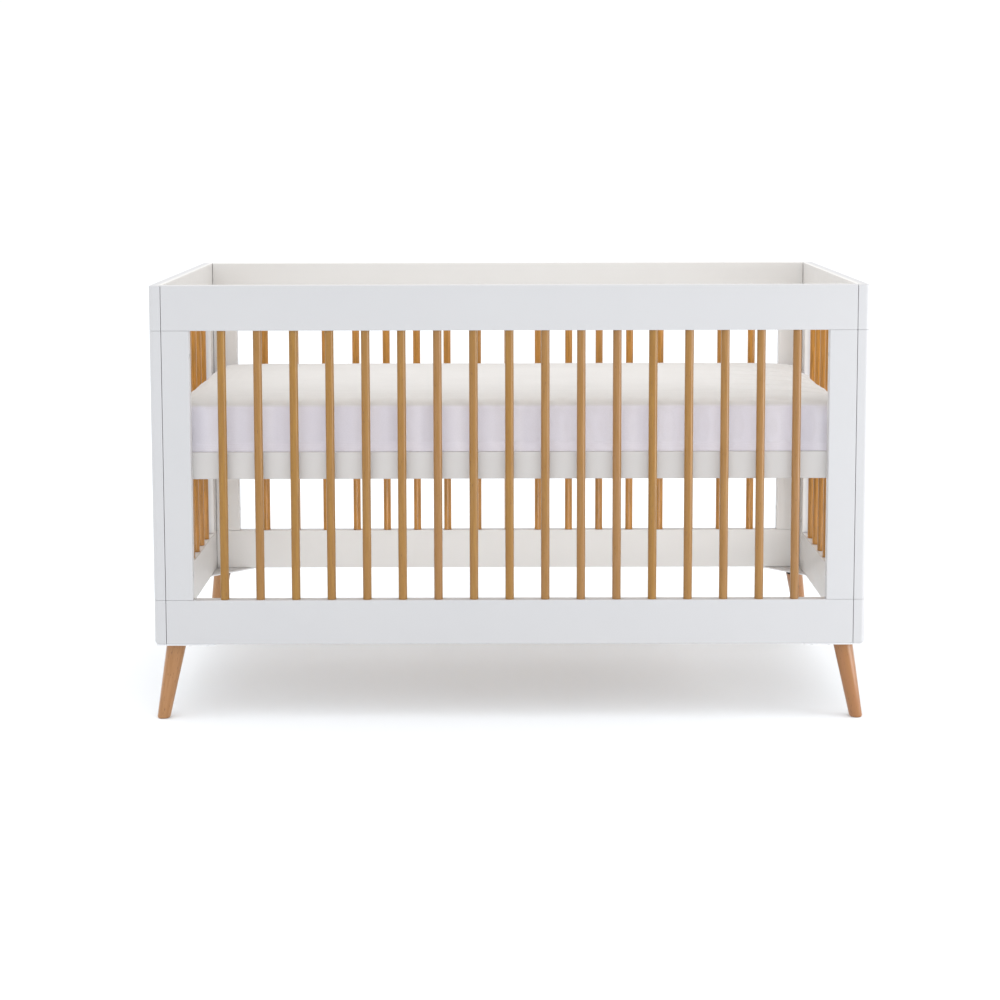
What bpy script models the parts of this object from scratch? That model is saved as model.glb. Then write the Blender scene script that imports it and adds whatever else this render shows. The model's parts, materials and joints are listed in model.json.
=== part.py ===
"""Baby crib for a 1400 x 700 mm mattress: two side panels and two end panels of painted frame
members with round wooden spindles, four splayed turned legs bolted under corner plates, and a
slatted mattress base that bolts to the end panels at three heights.

Frame: metres, +Z up, origin on the floor under the middle of the crib, +X along its length. The
front panel faces -Y. Run it with: blender --background --python part.py
"""

import math

import bmesh
import bpy
from mathutils import Matrix, Vector

# ---------------------------------------------------------------- mattress and overall sizes
MATTRESS_LENGTH = 1.400
MATTRESS_WIDTH = 0.700
MATTRESS_THICKNESS = 0.103
MATTRESS_ROUND = 0.014
MATTRESS_CLEARANCE = 0.011  # all round, to the panels' inner faces
PANEL_HEIGHT = 0.7445  # bottom edge to top edge of every panel
UNDERSIDE = 0.1585  # floor to the panels' bottom edge
PANEL_THICKNESS = 0.024

# ---------------------------------------------------------------- frame members
RAIL_HEIGHT = 0.0925
STILE_WIDTH = 0.057  # the side panels' uprights
POST_WIDTH = 0.062  # the end panels' uprights
EDGE_ROUND = 0.0018
CORNER_ROUND = 0.009  # the end panels' outer vertical edges
JOINT_GAP = 0.0003

# ---------------------------------------------------------------- spindles
SPINDLE_DIAMETER = 0.018
SPINDLE_GAP = 0.0557  # the gap aimed at; each panel's own gaps come out equal and near it
SPINDLE_SEAT = 0.020  # how far a spindle enters each rail
SPINDLE_SIDES = 8
TIE_WIDTH = 0.006  # the hidden strip that joins one panel's spindles
TIE_HEIGHT = 0.004

# ---------------------------------------------------------------- legs and corner plates
LEG_TOP_DIAMETER = 0.040
LEG_FOOT_DIAMETER = 0.0265
LEG_TOP_INSET = 0.039  # leg axis to the outer faces, at the leg's top
LEG_FOOT_INSET = 0.0137  # the same at the floor
LEG_SIDES = 24
PLATE_REACH = 0.129  # length of a corner plate's two straight edges
PLATE_INSET = 0.003
PLATE_THICKNESS = 0.003
PLATE_CORNER = 0.006
PLATE_SCREW_DIAMETER = 0.0044
PLATE_SCREW_SHARES = (0.56, 0.84)  # the screws' places along a plate's straight edges
PLATE_SCREW_SIDES = 8
LEG_STUD_DIAMETER = 0.008
LEG_STUD_DEPTH = 0.035
LEG_NUT_WIDTH = 0.013
LEG_NUT_HEIGHT = 0.0065

# ---------------------------------------------------------------- panel bolts
BOLT_DIAMETER = 0.006
BOLT_HEAD_DIAMETER = 0.010
BOLT_HEAD_HEIGHT = 0.006
BOLT_RECESS = 0.012  # depth of the counterbore in a stile's inner edge
BOLT_GRIP = 0.015  # how far a panel bolt enters the end post
BOLT_FROM_RAIL = 0.052  # bolt axis to the nearer rail
BOLT_PLAY = 0.0003  # radial clearance round shanks, heads and studs
BOLT_HEAD_CLEARANCE = 0.001  # a base bolt's head to the long rail beside it
BOLT_SIDES = 12
SOCKET_WIDTH = 0.005
SOCKET_SHARE = 0.4  # depth of a hex socket as a share of its head
CUTTER_OVERSHOOT = 0.002  # how far a cutter stands past the face that it opens

# ---------------------------------------------------------------- mattress base
BASE_DEPTH = 0.347  # the crib's top edge to the base's top edge, in its highest position
BASE_LOWEST_RISE = 0.022  # the bottom rails' top edge to the base bolts, in its lowest position
BASE_CLEARANCE = 0.003  # to the panels' inner faces
BASE_RAIL_HEIGHT = 0.056
BASE_SIDE_THICKNESS = 0.018
BASE_END_THICKNESS = 0.022
SLATS = 11
SLAT_WIDTH = 0.062
SLAT_THICKNESS = 0.008
SLAT_ROUND = 0.001
SLAT_SEAT = 0.010  # width of the ledge that carries a slat's end
INSERT_DIAMETER = 0.008  # threaded insert holes in the end posts
INSERT_DEPTH = 0.014

# ---------------------------------------------------------------- derived places
INNER_LENGTH = MATTRESS_LENGTH + 2 * MATTRESS_CLEARANCE  # between the end panels
INNER_WIDTH = MATTRESS_WIDTH + 2 * MATTRESS_CLEARANCE  # between the side panels
HALF_LENGTH = INNER_LENGTH / 2 + PANEL_THICKNESS
HALF_WIDTH = INNER_WIDTH / 2 + PANEL_THICKNESS
TOP = UNDERSIDE + PANEL_HEIGHT
SIDE_PLANE = INNER_WIDTH / 2 + PANEL_THICKNESS / 2  # |y| of a side panel's middle
END_PLANE = INNER_LENGTH / 2 + PANEL_THICKNESS / 2  # |x| of an end panel's middle
OPENING_BOTTOM = UNDERSIDE + RAIL_HEIGHT
OPENING_TOP = TOP - RAIL_HEIGHT
BASE_HALF_LENGTH = INNER_LENGTH / 2 - BASE_CLEARANCE
BASE_HALF_WIDTH = INNER_WIDTH / 2 - BASE_CLEARANCE
BASE_END_INNER = BASE_HALF_LENGTH - BASE_END_THICKNESS
BASE_SIDE_INNER = BASE_HALF_WIDTH - BASE_SIDE_THICKNESS
BASE_TOP = TOP - BASE_DEPTH
BASE_MIDDLE = BASE_TOP - BASE_RAIL_HEIGHT / 2
BASE_TRAVEL = BASE_MIDDLE - OPENING_BOTTOM - BASE_LOWEST_RISE
BASE_DROPS = (0, BASE_TRAVEL / 2, BASE_TRAVEL)  # its three bolted positions
BASE_BOLT_PLANE = BASE_SIDE_INNER - BOLT_HEAD_DIAMETER / 2 - BOLT_HEAD_CLEARANCE
SIDES = (("front", -1), ("back", 1))
ENDS = (("left", -1), ("right", 1))

# ---------------------------------------------------------------- materials
PAINT = ("white_paint", (0.86, 0.86, 0.87), 0.42, 0.0)
OAK = ("spindle_wood", (0.55, 0.33, 0.15), 0.55, 0.0)
BEECH = ("leg_wood", (0.58, 0.33, 0.17), 0.50, 0.0)
PLATE = ("white_metal", (0.82, 0.82, 0.82), 0.40, 0.0)
STEEL = ("zinc_steel", (0.62, 0.62, 0.64), 0.32, 1.0)
PINE = ("slat_wood", (0.78, 0.62, 0.42), 0.60, 0.0)
FABRIC = ("mattress_cover", (0.83, 0.80, 0.79), 0.92, 0.0)


def clear_scene():
    for old in list(bpy.data.objects):
        bpy.data.objects.remove(old, do_unlink=True)


def new_collection(name, hidden=False):
    made = bpy.data.collections.new(name)
    bpy.context.scene.collection.children.link(made)
    made.hide_render = hidden
    return made


def move_to(obj, collection):
    for old in list(obj.users_collection):
        old.objects.unlink(obj)
    collection.objects.link(obj)


def material(finish):
    name, colour, roughness, metallic = finish
    made = bpy.data.materials.get(name)
    if made is None:
        made = bpy.data.materials.new(name)
        made.use_nodes = True
        shader = made.node_tree.nodes["Principled BSDF"]
        shader.inputs["Base Color"].default_value = (*colour, 1.0)
        shader.inputs["Roughness"].default_value = roughness
        shader.inputs["Metallic"].default_value = metallic
        made.diffuse_color = (*colour, 1.0)
    return made


def finish_part(obj, name, finish, smooth=False):
    obj.name = name
    obj.data.name = name
    obj.data.materials.clear()
    obj.data.materials.append(material(finish))
    if smooth:
        obj.data.shade_smooth()
        obj.data.set_sharp_from_angle(angle=math.radians(35))
    move_to(obj, parts)
    return obj


def finish_cutter(obj, name):
    obj.name = name
    obj.hide_render = True
    obj.display_type = "WIRE"
    move_to(obj, cutters)
    return obj


def block(low, high):
    """A box between two corners, with its scale applied."""
    low = Vector(low)
    high = Vector(high)
    bpy.ops.mesh.primitive_cube_add(size=1, location=(low + high) / 2)
    obj = bpy.context.object
    obj.scale = high - low
    bpy.ops.object.transform_apply(location=False, rotation=False, scale=True)
    return obj


def cylinder(radius, start, end, sides=BOLT_SIDES, end_radius=None):
    """A cylinder or cone from one point to another, with a flat of its outline facing each way."""
    start = Vector(start)
    axis = Vector(end) - start
    bpy.ops.mesh.primitive_cone_add(
        vertices=sides,
        radius1=radius,
        radius2=radius if end_radius is None else end_radius,
        depth=axis.length,
    )
    obj = bpy.context.object
    turn = axis.to_track_quat("Z", "Y").to_matrix().to_4x4()
    half_step = Matrix.Rotation(math.pi / sides, 4, "Z")
    obj.matrix_world = Matrix.Translation(start + axis / 2) @ turn @ half_step
    return obj


def joined(objects):
    """Several objects made one, at the first one's place."""
    bpy.ops.object.select_all(action="DESELECT")
    for obj in objects:
        obj.select_set(True)
    bpy.context.view_layer.objects.active = objects[0]
    bpy.ops.object.join()
    return bpy.context.object


def boolean(obj, other, operation, name):
    modifier = obj.modifiers.new(name, "BOOLEAN")
    modifier.operation = operation
    modifier.object = other


def round_edges(obj, width, segments=1):
    modifier = obj.modifiers.new("Eased edges", "BEVEL")
    modifier.width = width
    modifier.segments = segments
    modifier.limit_method = "ANGLE"


def even_places(opening, count, size):
    """Centres of equal pieces with equal gaps, about the middle of an opening."""
    pitch = (opening - count * size) / (count + 1) + size
    return [(i - (count - 1) / 2) * pitch for i in range(count)]


def round_outer_corners(obj, outer_sign, low_corner, high_corner):
    """Rounds an end member's outer upright edges, which stand where x and |y| are largest."""
    weights = obj.data.attributes.new("bevel_weight_edge", "FLOAT", "EDGE")
    for edge in obj.data.edges:
        ends = [obj.matrix_world @ obj.data.vertices[i].co for i in edge.vertices]
        upright = abs(ends[0].z - ends[1].z) > EDGE_ROUND
        outer = all(v.x * outer_sign > HALF_LENGTH - EDGE_ROUND for v in ends)
        at_low = low_corner and all(v.y < EDGE_ROUND - HALF_WIDTH for v in ends)
        at_high = high_corner and all(v.y > HALF_WIDTH - EDGE_ROUND for v in ends)
        if upright and outer and (at_low or at_high):
            weights.data[edge.index].value = 1.0
    modifier = obj.modifiers.new("Outer corner", "BEVEL")
    modifier.width = CORNER_ROUND
    modifier.segments = 4
    modifier.limit_method = "WEIGHT"


# ---------------------------------------------------------------- spindles and their seats
def spindle_places(kind):
    """Centre points of one panel's spindles along the panel's own direction."""
    if kind == "side":
        opening = INNER_LENGTH - 2 * STILE_WIDTH
    else:
        opening = 2 * (HALF_WIDTH - POST_WIDTH)
    count = round((opening - SPINDLE_GAP) / (SPINDLE_DIAMETER + SPINDLE_GAP))
    return even_places(opening, count, SPINDLE_DIAMETER)


def panel_point(kind, sign, along, z):
    if kind == "side":
        return Vector((along, sign * SIDE_PLANE, z))
    return Vector((sign * END_PLANE, along, z))


def panel_block(kind, sign, along, across, heights):
    """A box in a panel's own plane: its extent along the panel, half its thickness, its heights."""
    middle = SIDE_PLANE if kind == "side" else END_PLANE
    near = sign * middle - across
    far = sign * middle + across
    if kind == "side":
        return block((along[0], near, heights[0]), (along[1], far, heights[1]))
    return block((near, along[0], heights[0]), (far, along[1], heights[1]))


def spindle_set(panel, kind, sign):
    """One panel's spindles, joined at their hidden lower ends by a thin tie strip."""
    low = OPENING_BOTTOM - SPINDLE_SEAT + JOINT_GAP
    high = OPENING_TOP + SPINDLE_SEAT - JOINT_GAP
    places = spindle_places(kind)
    rods = []
    for along in places:
        start = panel_point(kind, sign, along, low)
        end = panel_point(kind, sign, along, high)
        rods.append(cylinder(SPINDLE_DIAMETER / 2, start, end, SPINDLE_SIDES))
    rods = finish_cutter(joined(rods), f"{panel}_rods")
    reach = (places[0], places[-1])
    tie = panel_block(kind, sign, reach, TIE_WIDTH / 2, (low, low + TIE_HEIGHT))
    boolean(tie, rods, "UNION", "Rods")
    finish_part(tie, f"{panel}_spindles", OAK, smooth=True)


def cut_spindle_seats(rail, panel, kind, sign, level):
    """Blind bores along a rail for its panel's spindles. The lower ones are joined for the tie."""
    if level == "top":
        span = (OPENING_TOP - CUTTER_OVERSHOOT, OPENING_TOP + SPINDLE_SEAT)
    else:
        span = (OPENING_BOTTOM - SPINDLE_SEAT, OPENING_BOTTOM + CUTTER_OVERSHOOT)
    places = spindle_places(kind)
    bores = []
    for along in places:
        start = panel_point(kind, sign, along, span[0])
        end = panel_point(kind, sign, along, span[1])
        bores.append(cylinder(SPINDLE_DIAMETER / 2 + JOINT_GAP, start, end, SPINDLE_SIDES))
    bores = finish_cutter(joined(bores), f"{rail.name}_bores")
    boolean(rail, bores, "DIFFERENCE", "Spindle seats")
    if level == "top":
        return
    heights = (span[0], span[0] + TIE_HEIGHT + 2 * JOINT_GAP)
    reach = (places[0] - JOINT_GAP, places[-1] + JOINT_GAP)
    channel = panel_block(kind, sign, reach, TIE_WIDTH / 2 + JOINT_GAP, heights)
    finish_cutter(channel, f"{rail.name}_tie_channel")
    boolean(rail, channel, "DIFFERENCE", "Tie channel")


# ---------------------------------------------------------------- side panels, front and back
def side_rail(panel, sign, level):
    """A side panel's rail, over the full inner length of the crib."""
    heights = (OPENING_TOP, TOP) if level == "top" else (UNDERSIDE, OPENING_BOTTOM)
    half = INNER_LENGTH / 2 - JOINT_GAP
    rail = panel_block("side", sign, (-half, half), PANEL_THICKNESS / 2, heights)
    rail.name = f"{panel}_{level}_rail"
    round_edges(rail, EDGE_ROUND)
    cut_spindle_seats(rail, panel, "side", sign, level)
    finish_part(rail, rail.name, PAINT)


def panel_bolt_heights():
    return (OPENING_BOTTOM + BOLT_FROM_RAIL, OPENING_TOP - BOLT_FROM_RAIL)


def side_stile(panel, sign, end, end_sign):
    """An upright between a side panel's rails, counterbored at its inner edge for two bolts."""
    outer = end_sign * (INNER_LENGTH / 2 - JOINT_GAP)
    inner = end_sign * (INNER_LENGTH / 2 - STILE_WIDTH)
    heights = (OPENING_BOTTOM + JOINT_GAP, OPENING_TOP - JOINT_GAP)
    span = (min(inner, outer), max(inner, outer))
    stile = panel_block("side", sign, span, PANEL_THICKNESS / 2, heights)
    stile.name = f"{panel}_{end}_stile"
    round_edges(stile, EDGE_ROUND)
    y = sign * SIDE_PLANE
    wide = []
    narrow = []
    for z in panel_bolt_heights():
        mouth = Vector((inner - end_sign * CUTTER_OVERSHOOT, y, z))
        floor = Vector((inner + end_sign * BOLT_RECESS, y, z))
        out = Vector((outer + end_sign * CUTTER_OVERSHOOT, y, z))
        wide.append(cylinder(BOLT_HEAD_DIAMETER / 2 + BOLT_PLAY, mouth, floor))
        narrow.append(cylinder(BOLT_DIAMETER / 2 + BOLT_PLAY, (mouth + floor) / 2, out))
    wide = finish_cutter(joined(wide), f"{stile.name}_counterbores")
    narrow = finish_cutter(joined(narrow), f"{stile.name}_bolt_holes")
    boolean(stile, wide, "DIFFERENCE", "Counterbores")
    boolean(stile, narrow, "DIFFERENCE", "Bolt holes")
    finish_part(stile, stile.name, PAINT)


def cap_screw(name, seat, tip):
    """A socket cap screw from the underside of its head to its tip."""
    along = (tip - seat).normalized()
    crown = seat - along * BOLT_HEAD_HEIGHT
    head = cylinder(BOLT_HEAD_DIAMETER / 2, crown, seat)
    shank = cylinder(BOLT_DIAMETER / 2, (crown + seat) / 2, tip)
    floor = crown + along * BOLT_HEAD_HEIGHT * SOCKET_SHARE
    mouth = crown - along * CUTTER_OVERSHOOT
    socket = cylinder(SOCKET_WIDTH / math.sqrt(3), mouth, floor, sides=6)
    boolean(head, finish_cutter(shank, f"{name}_shank"), "UNION", "Shank")
    boolean(head, finish_cutter(socket, f"{name}_socket"), "DIFFERENCE", "Hex socket")
    finish_part(head, name, STEEL, smooth=True)


def panel_bolt(panel, sign, end, end_sign, level, z):
    """A cap screw along X, from its counterbore in the stile into the end post."""
    seat = end_sign * (INNER_LENGTH / 2 - STILE_WIDTH + BOLT_RECESS - JOINT_GAP)
    tip = end_sign * (INNER_LENGTH / 2 + BOLT_GRIP - BOLT_PLAY)
    y = sign * SIDE_PLANE
    cap_screw(f"{panel}_{end}_{level}_panel_bolt", Vector((seat, y, z)), Vector((tip, y, z)))


# ---------------------------------------------------------------- end panels, left and right
def end_rail(panel, sign, level):
    """An end panel's rail, over the full outer width of the crib."""
    heights = (OPENING_TOP, TOP) if level == "top" else (UNDERSIDE, OPENING_BOTTOM)
    reach = (-HALF_WIDTH, HALF_WIDTH)
    rail = panel_block("end", sign, reach, PANEL_THICKNESS / 2, heights)
    rail.name = f"{panel}_{level}_rail"
    round_outer_corners(rail, sign, True, True)
    round_edges(rail, EDGE_ROUND)
    cut_spindle_seats(rail, panel, "end", sign, level)
    finish_part(rail, rail.name, PAINT)


def end_post(panel, sign, side, side_sign):
    """An upright between an end panel's rails, with its bolt holes and three base inserts."""
    outer = side_sign * HALF_WIDTH
    inner = side_sign * (HALF_WIDTH - POST_WIDTH)
    span = (min(inner, outer), max(inner, outer))
    heights = (OPENING_BOTTOM + JOINT_GAP, OPENING_TOP - JOINT_GAP)
    post = panel_block("end", sign, span, PANEL_THICKNESS / 2, heights)
    post.name = f"{panel}_{side}_post"
    round_outer_corners(post, sign, side_sign < 0, side_sign > 0)
    round_edges(post, EDGE_ROUND)
    face = sign * INNER_LENGTH / 2
    holes = []
    for z in panel_bolt_heights():
        start = Vector((face - sign * CUTTER_OVERSHOOT, side_sign * SIDE_PLANE, z))
        end = Vector((face + sign * BOLT_GRIP, side_sign * SIDE_PLANE, z))
        holes.append(cylinder(BOLT_DIAMETER / 2 + BOLT_PLAY, start, end))
    for drop in BASE_DROPS:
        mouth = face - sign * CUTTER_OVERSHOOT
        start = Vector((mouth, side_sign * BASE_BOLT_PLANE, BASE_MIDDLE - drop))
        end = Vector((face + sign * INSERT_DEPTH, start.y, start.z))
        holes.append(cylinder(INSERT_DIAMETER / 2, start, end))
    holes = finish_cutter(joined(holes), f"{post.name}_holes")
    boolean(post, holes, "DIFFERENCE", "Bolt and insert holes")
    finish_part(post, post.name, PAINT)


# ---------------------------------------------------------------- corner plates and legs
def corner_outline(points, radius, steps=3):
    """An outline with each corner rounded by an arc of the given radius."""
    outline = []
    count = len(points)
    for i, corner in enumerate(points):
        before = (points[i - 1] - corner).normalized()
        after = (points[(i + 1) % count] - corner).normalized()
        half = before.angle(after) / 2
        reach = radius / math.tan(half)
        centre = corner + (before + after).normalized() * (radius / math.sin(half))
        first = corner + before * reach - centre
        last = corner + after * reach - centre
        turn = first.angle_signed(last)
        for step in range(steps + 1):
            arm = first.copy()
            arm.rotate(Matrix.Rotation(-turn * step / steps, 2))
            outline.append(centre + arm)
    return outline


def plate_from_outline(outline, thickness, middle):
    """A flat closed plate from a 2D curve, made a mesh with its caps welded."""
    curve = bpy.data.curves.new("outline", "CURVE")
    curve.dimensions = "2D"
    curve.fill_mode = "BOTH"
    curve.extrude = thickness / 2
    spline = curve.splines.new("POLY")
    spline.points.add(len(outline) - 1)
    for point, place in zip(spline.points, outline):
        point.co = (place.x, place.y, 0, 1)
    spline.use_cyclic_u = True
    source = bpy.data.objects.new("outline", curve)
    bpy.context.scene.collection.objects.link(source)
    source.location = (0, 0, middle)
    bpy.context.view_layer.update()
    evaluated = source.evaluated_get(bpy.context.evaluated_depsgraph_get())
    mesh = bpy.data.meshes.new_from_object(evaluated)
    plate = bpy.data.objects.new("plate", mesh)
    plate.matrix_world = source.matrix_world
    bpy.context.scene.collection.objects.link(plate)
    bpy.data.objects.remove(source)
    weld(mesh)
    return plate


def weld(mesh):
    shape = bmesh.new()
    shape.from_mesh(mesh)
    bmesh.ops.remove_doubles(shape, verts=shape.verts, dist=0.00001)
    bmesh.ops.recalc_face_normals(shape, faces=shape.faces)
    shape.to_mesh(mesh)
    shape.free()


def leg_axis(x_sign, y_sign):
    """A leg's foot centre, top centre and unit axis. Its top clears the plate by the joint gap."""
    foot = Vector((HALF_LENGTH - LEG_FOOT_INSET, HALF_WIDTH - LEG_FOOT_INSET, 0))
    lean = LEG_TOP_INSET - LEG_FOOT_INSET
    plate_bottom = UNDERSIDE - JOINT_GAP - PLATE_THICKNESS
    rise = plate_bottom
    for _ in range(8):
        tilt = math.atan(math.hypot(lean, lean) / rise)
        rise = plate_bottom - 2 * JOINT_GAP - LEG_TOP_DIAMETER / 2 * math.sin(tilt)
    top = foot - Vector((lean, lean, -rise))
    foot = Vector((foot.x * x_sign, foot.y * y_sign, foot.z))
    top = Vector((top.x * x_sign, top.y * y_sign, top.z))
    return foot, top, (top - foot).normalized()


def plate_screw_places(x_sign, y_sign):
    """The four screw holes of a corner plate, under the middles of the rails."""
    places = []
    for share in PLATE_SCREW_SHARES:
        along = PLATE_REACH * share
        places.append((HALF_LENGTH - along, HALF_WIDTH - PANEL_THICKNESS / 2))
        places.append((HALF_LENGTH - PANEL_THICKNESS / 2, HALF_WIDTH - along))
    return [(x * x_sign, y * y_sign) for x, y in places]


def corner_plate(end, x_sign, side, y_sign):
    """A triangular steel plate under a corner, with the leg's stud hole and four screw holes."""
    outer_x = HALF_LENGTH - PLATE_INSET
    outer_y = HALF_WIDTH - PLATE_INSET
    far_x = HALF_LENGTH - PLATE_REACH
    far_y = HALF_WIDTH - PLATE_REACH
    corners = [(outer_x, outer_y), (far_x, outer_y), (outer_x, far_y)]
    corners = [Vector((x * x_sign, y * y_sign)) for x, y in corners]
    middle = UNDERSIDE - JOINT_GAP - PLATE_THICKNESS / 2
    outline = corner_outline(corners, PLATE_CORNER)
    plate = plate_from_outline(outline, PLATE_THICKNESS, middle)
    _, top, axis = leg_axis(x_sign, y_sign)
    reach = LEG_TOP_DIAMETER / 2 * axis
    holes = [cylinder(LEG_STUD_DIAMETER / 2 + BOLT_PLAY, top - reach, top + reach)]
    for x, y in plate_screw_places(x_sign, y_sign):
        low = (x, y, middle - PLATE_THICKNESS)
        high = (x, y, middle + PLATE_THICKNESS)
        holes.append(cylinder(PLATE_SCREW_DIAMETER / 2, low, high, PLATE_SCREW_SIDES))
    holes = finish_cutter(joined(holes), f"{side}_{end}_plate_holes")
    boolean(plate, holes, "DIFFERENCE", "Stud and screw holes")
    finish_part(plate, f"{side}_{end}_corner_plate", PLATE)


def leg(end, x_sign, side, y_sign):
    """A turned, tapered leg, cut level at the floor and bored from the top for its stud."""
    foot, top, axis = leg_axis(x_sign, y_sign)
    length = (top - foot).length
    below = LEG_FOOT_DIAMETER / 2  # run-out under the floor, which the level cut takes off
    slope = (LEG_TOP_DIAMETER - LEG_FOOT_DIAMETER) / 2 / length
    low_radius = LEG_FOOT_DIAMETER / 2 - slope * below
    obj = cylinder(low_radius, foot - axis * below, top, LEG_SIDES, LEG_TOP_DIAMETER / 2)
    reach = LEG_TOP_DIAMETER
    ground = block((foot.x - reach, foot.y - reach, -reach), (foot.x + reach, foot.y + reach, 0))
    finish_cutter(ground, f"{side}_{end}_ground_cut")
    boolean(obj, ground, "DIFFERENCE", "Level foot")
    depth = LEG_STUD_DEPTH + JOINT_GAP
    mouth = top + axis * CUTTER_OVERSHOOT
    bore = cylinder(LEG_STUD_DIAMETER / 2 + BOLT_PLAY, top - axis * depth, mouth)
    finish_cutter(bore, f"{side}_{end}_stud_bore")
    boolean(obj, bore, "DIFFERENCE", "Stud bore")
    finish_part(obj, f"{side}_{end}_leg", BEECH, smooth=True)


def leg_stud(end, x_sign, side, y_sign):
    """The leg's stud along its axis, through the plate, with a hex nut above the plate."""
    _, top, axis = leg_axis(x_sign, y_sign)
    tilt = math.acos(axis.z)
    plate_top = UNDERSIDE - JOINT_GAP
    nut_corner = LEG_NUT_WIDTH / math.sqrt(3) * math.sin(tilt)
    seat = top + axis * ((plate_top - top.z + nut_corner) / axis.z + JOINT_GAP)
    crown = seat + axis * LEG_NUT_HEIGHT
    stud = cylinder(LEG_STUD_DIAMETER / 2, top - axis * LEG_STUD_DEPTH, crown + axis * 0.004)
    nut = cylinder(LEG_NUT_WIDTH / math.sqrt(3), seat, crown, sides=6)
    finish_cutter(nut, f"{side}_{end}_nut")
    boolean(stud, nut, "UNION", "Nut")
    finish_part(stud, f"{side}_{end}_leg_stud", STEEL, smooth=True)


# ---------------------------------------------------------------- mattress base
def base_side_rail(side, y_sign):
    """A long rail of the base, with a ledge along its inner edge for the slats' ends."""
    outer = y_sign * BASE_HALF_WIDTH
    inner = y_sign * BASE_SIDE_INNER
    low = (-BASE_HALF_LENGTH, min(inner, outer), BASE_TOP - BASE_RAIL_HEIGHT)
    high = (BASE_HALF_LENGTH, max(inner, outer), BASE_TOP)
    rail = block(low, high)
    round_edges(rail, EDGE_ROUND)
    ledge = y_sign * (BASE_SIDE_INNER + SLAT_SEAT)
    past = inner - y_sign * 0.01
    floor = BASE_TOP - SLAT_THICKNESS - JOINT_GAP
    half = BASE_END_INNER
    rebate = block((-half, min(ledge, past), floor), (half, max(ledge, past), BASE_TOP + 0.01))
    finish_cutter(rebate, f"base_{side}_rebate")
    boolean(rail, rebate, "DIFFERENCE", "Slat ledge")
    finish_part(rail, f"base_{side}_rail", PAINT)


def base_end_rail(end, x_sign):
    """A cross rail of the base, between the long rails, with its two bolt holes."""
    outer = x_sign * BASE_HALF_LENGTH
    inner = x_sign * BASE_END_INNER
    half = BASE_SIDE_INNER - JOINT_GAP
    low = (min(inner, outer), -half, BASE_TOP - BASE_RAIL_HEIGHT)
    high = (max(inner, outer), half, BASE_TOP)
    rail = block(low, high)
    round_edges(rail, EDGE_ROUND)
    holes = []
    for y_sign in (-1, 1):
        y = y_sign * BASE_BOLT_PLANE
        start = (inner - x_sign * CUTTER_OVERSHOOT, y, BASE_MIDDLE)
        stop = (outer + x_sign * CUTTER_OVERSHOOT, y, BASE_MIDDLE)
        holes.append(cylinder(BOLT_DIAMETER / 2 + BOLT_PLAY, start, stop))
    holes = finish_cutter(joined(holes), f"base_{end}_bolt_holes")
    boolean(rail, holes, "DIFFERENCE", "Bolt holes")
    finish_part(rail, f"base_{end}_rail", PAINT)


def base_bolt(end, x_sign, side, y_sign):
    """A cap screw through the base's cross rail, its tip level with the rail's outer face."""
    y = y_sign * BASE_BOLT_PLANE
    seat = Vector((x_sign * (BASE_END_INNER - JOINT_GAP), y, BASE_MIDDLE))
    tip = Vector((x_sign * BASE_HALF_LENGTH, y, BASE_MIDDLE))
    cap_screw(f"base_{side}_{end}_bolt", seat, tip)


def slats():
    """Cross slats on the long rails' ledges, evenly spaced between the cross rails."""
    half = BASE_SIDE_INNER + SLAT_SEAT - JOINT_GAP
    places = even_places(2 * BASE_END_INNER, SLATS, SLAT_WIDTH)
    for number, x in enumerate(places, 1):
        low = (x - SLAT_WIDTH / 2, -half, BASE_TOP - SLAT_THICKNESS)
        high = (x + SLAT_WIDTH / 2, half, BASE_TOP)
        slat = block(low, high)
        round_edges(slat, SLAT_ROUND)
        finish_part(slat, f"slat_{number:02d}", PINE)


def mattress():
    """The mattress as one plain rounded block, lying on the slats."""
    bottom = BASE_TOP + JOINT_GAP
    low = (-MATTRESS_LENGTH / 2, -MATTRESS_WIDTH / 2, bottom)
    high = (MATTRESS_LENGTH / 2, MATTRESS_WIDTH / 2, bottom + MATTRESS_THICKNESS)
    obj = block(low, high)
    round_edges(obj, MATTRESS_ROUND, 3)
    finish_part(obj, "mattress", FABRIC, smooth=True)


def build():
    for panel, sign in SIDES:
        for level in ("top", "bottom"):
            side_rail(panel, sign, level)
        spindle_set(panel, "side", sign)
        for end, end_sign in ENDS:
            side_stile(panel, sign, end, end_sign)
            for level, z in zip(("lower", "upper"), panel_bolt_heights()):
                panel_bolt(panel, sign, end, end_sign, level, z)
    for panel, sign in ENDS:
        for level in ("top", "bottom"):
            end_rail(panel, sign, level)
        spindle_set(panel, "end", sign)
        for side, side_sign in SIDES:
            end_post(panel, sign, side, side_sign)
            corner_plate(panel, sign, side, side_sign)
            leg(panel, sign, side, side_sign)
            leg_stud(panel, sign, side, side_sign)
            base_bolt(panel, sign, side, side_sign)
        base_end_rail(panel, sign)
    for side, side_sign in SIDES:
        base_side_rail(side, side_sign)
    slats()
    mattress()


clear_scene()
parts = new_collection("baby_crib")
cutters = new_collection("cutters", hidden=True)
build()
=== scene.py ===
# %% [markdown]
# # A white crib with round wooden spindles
#
# The crib is a simple thing made with care: white painted panels, fifty turned spindles in oiled wood,
# four splayed beech legs, a slatted base and a mattress. An engineer's model of it already exists. It has
# the right sizes and it moves correctly, but its surfaces are plain. This lesson loads that model, keeps
# it as a frame, and builds every visible piece again around it with eased edges and real finishes.

# %% Load the plain model
import math
import random

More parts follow.
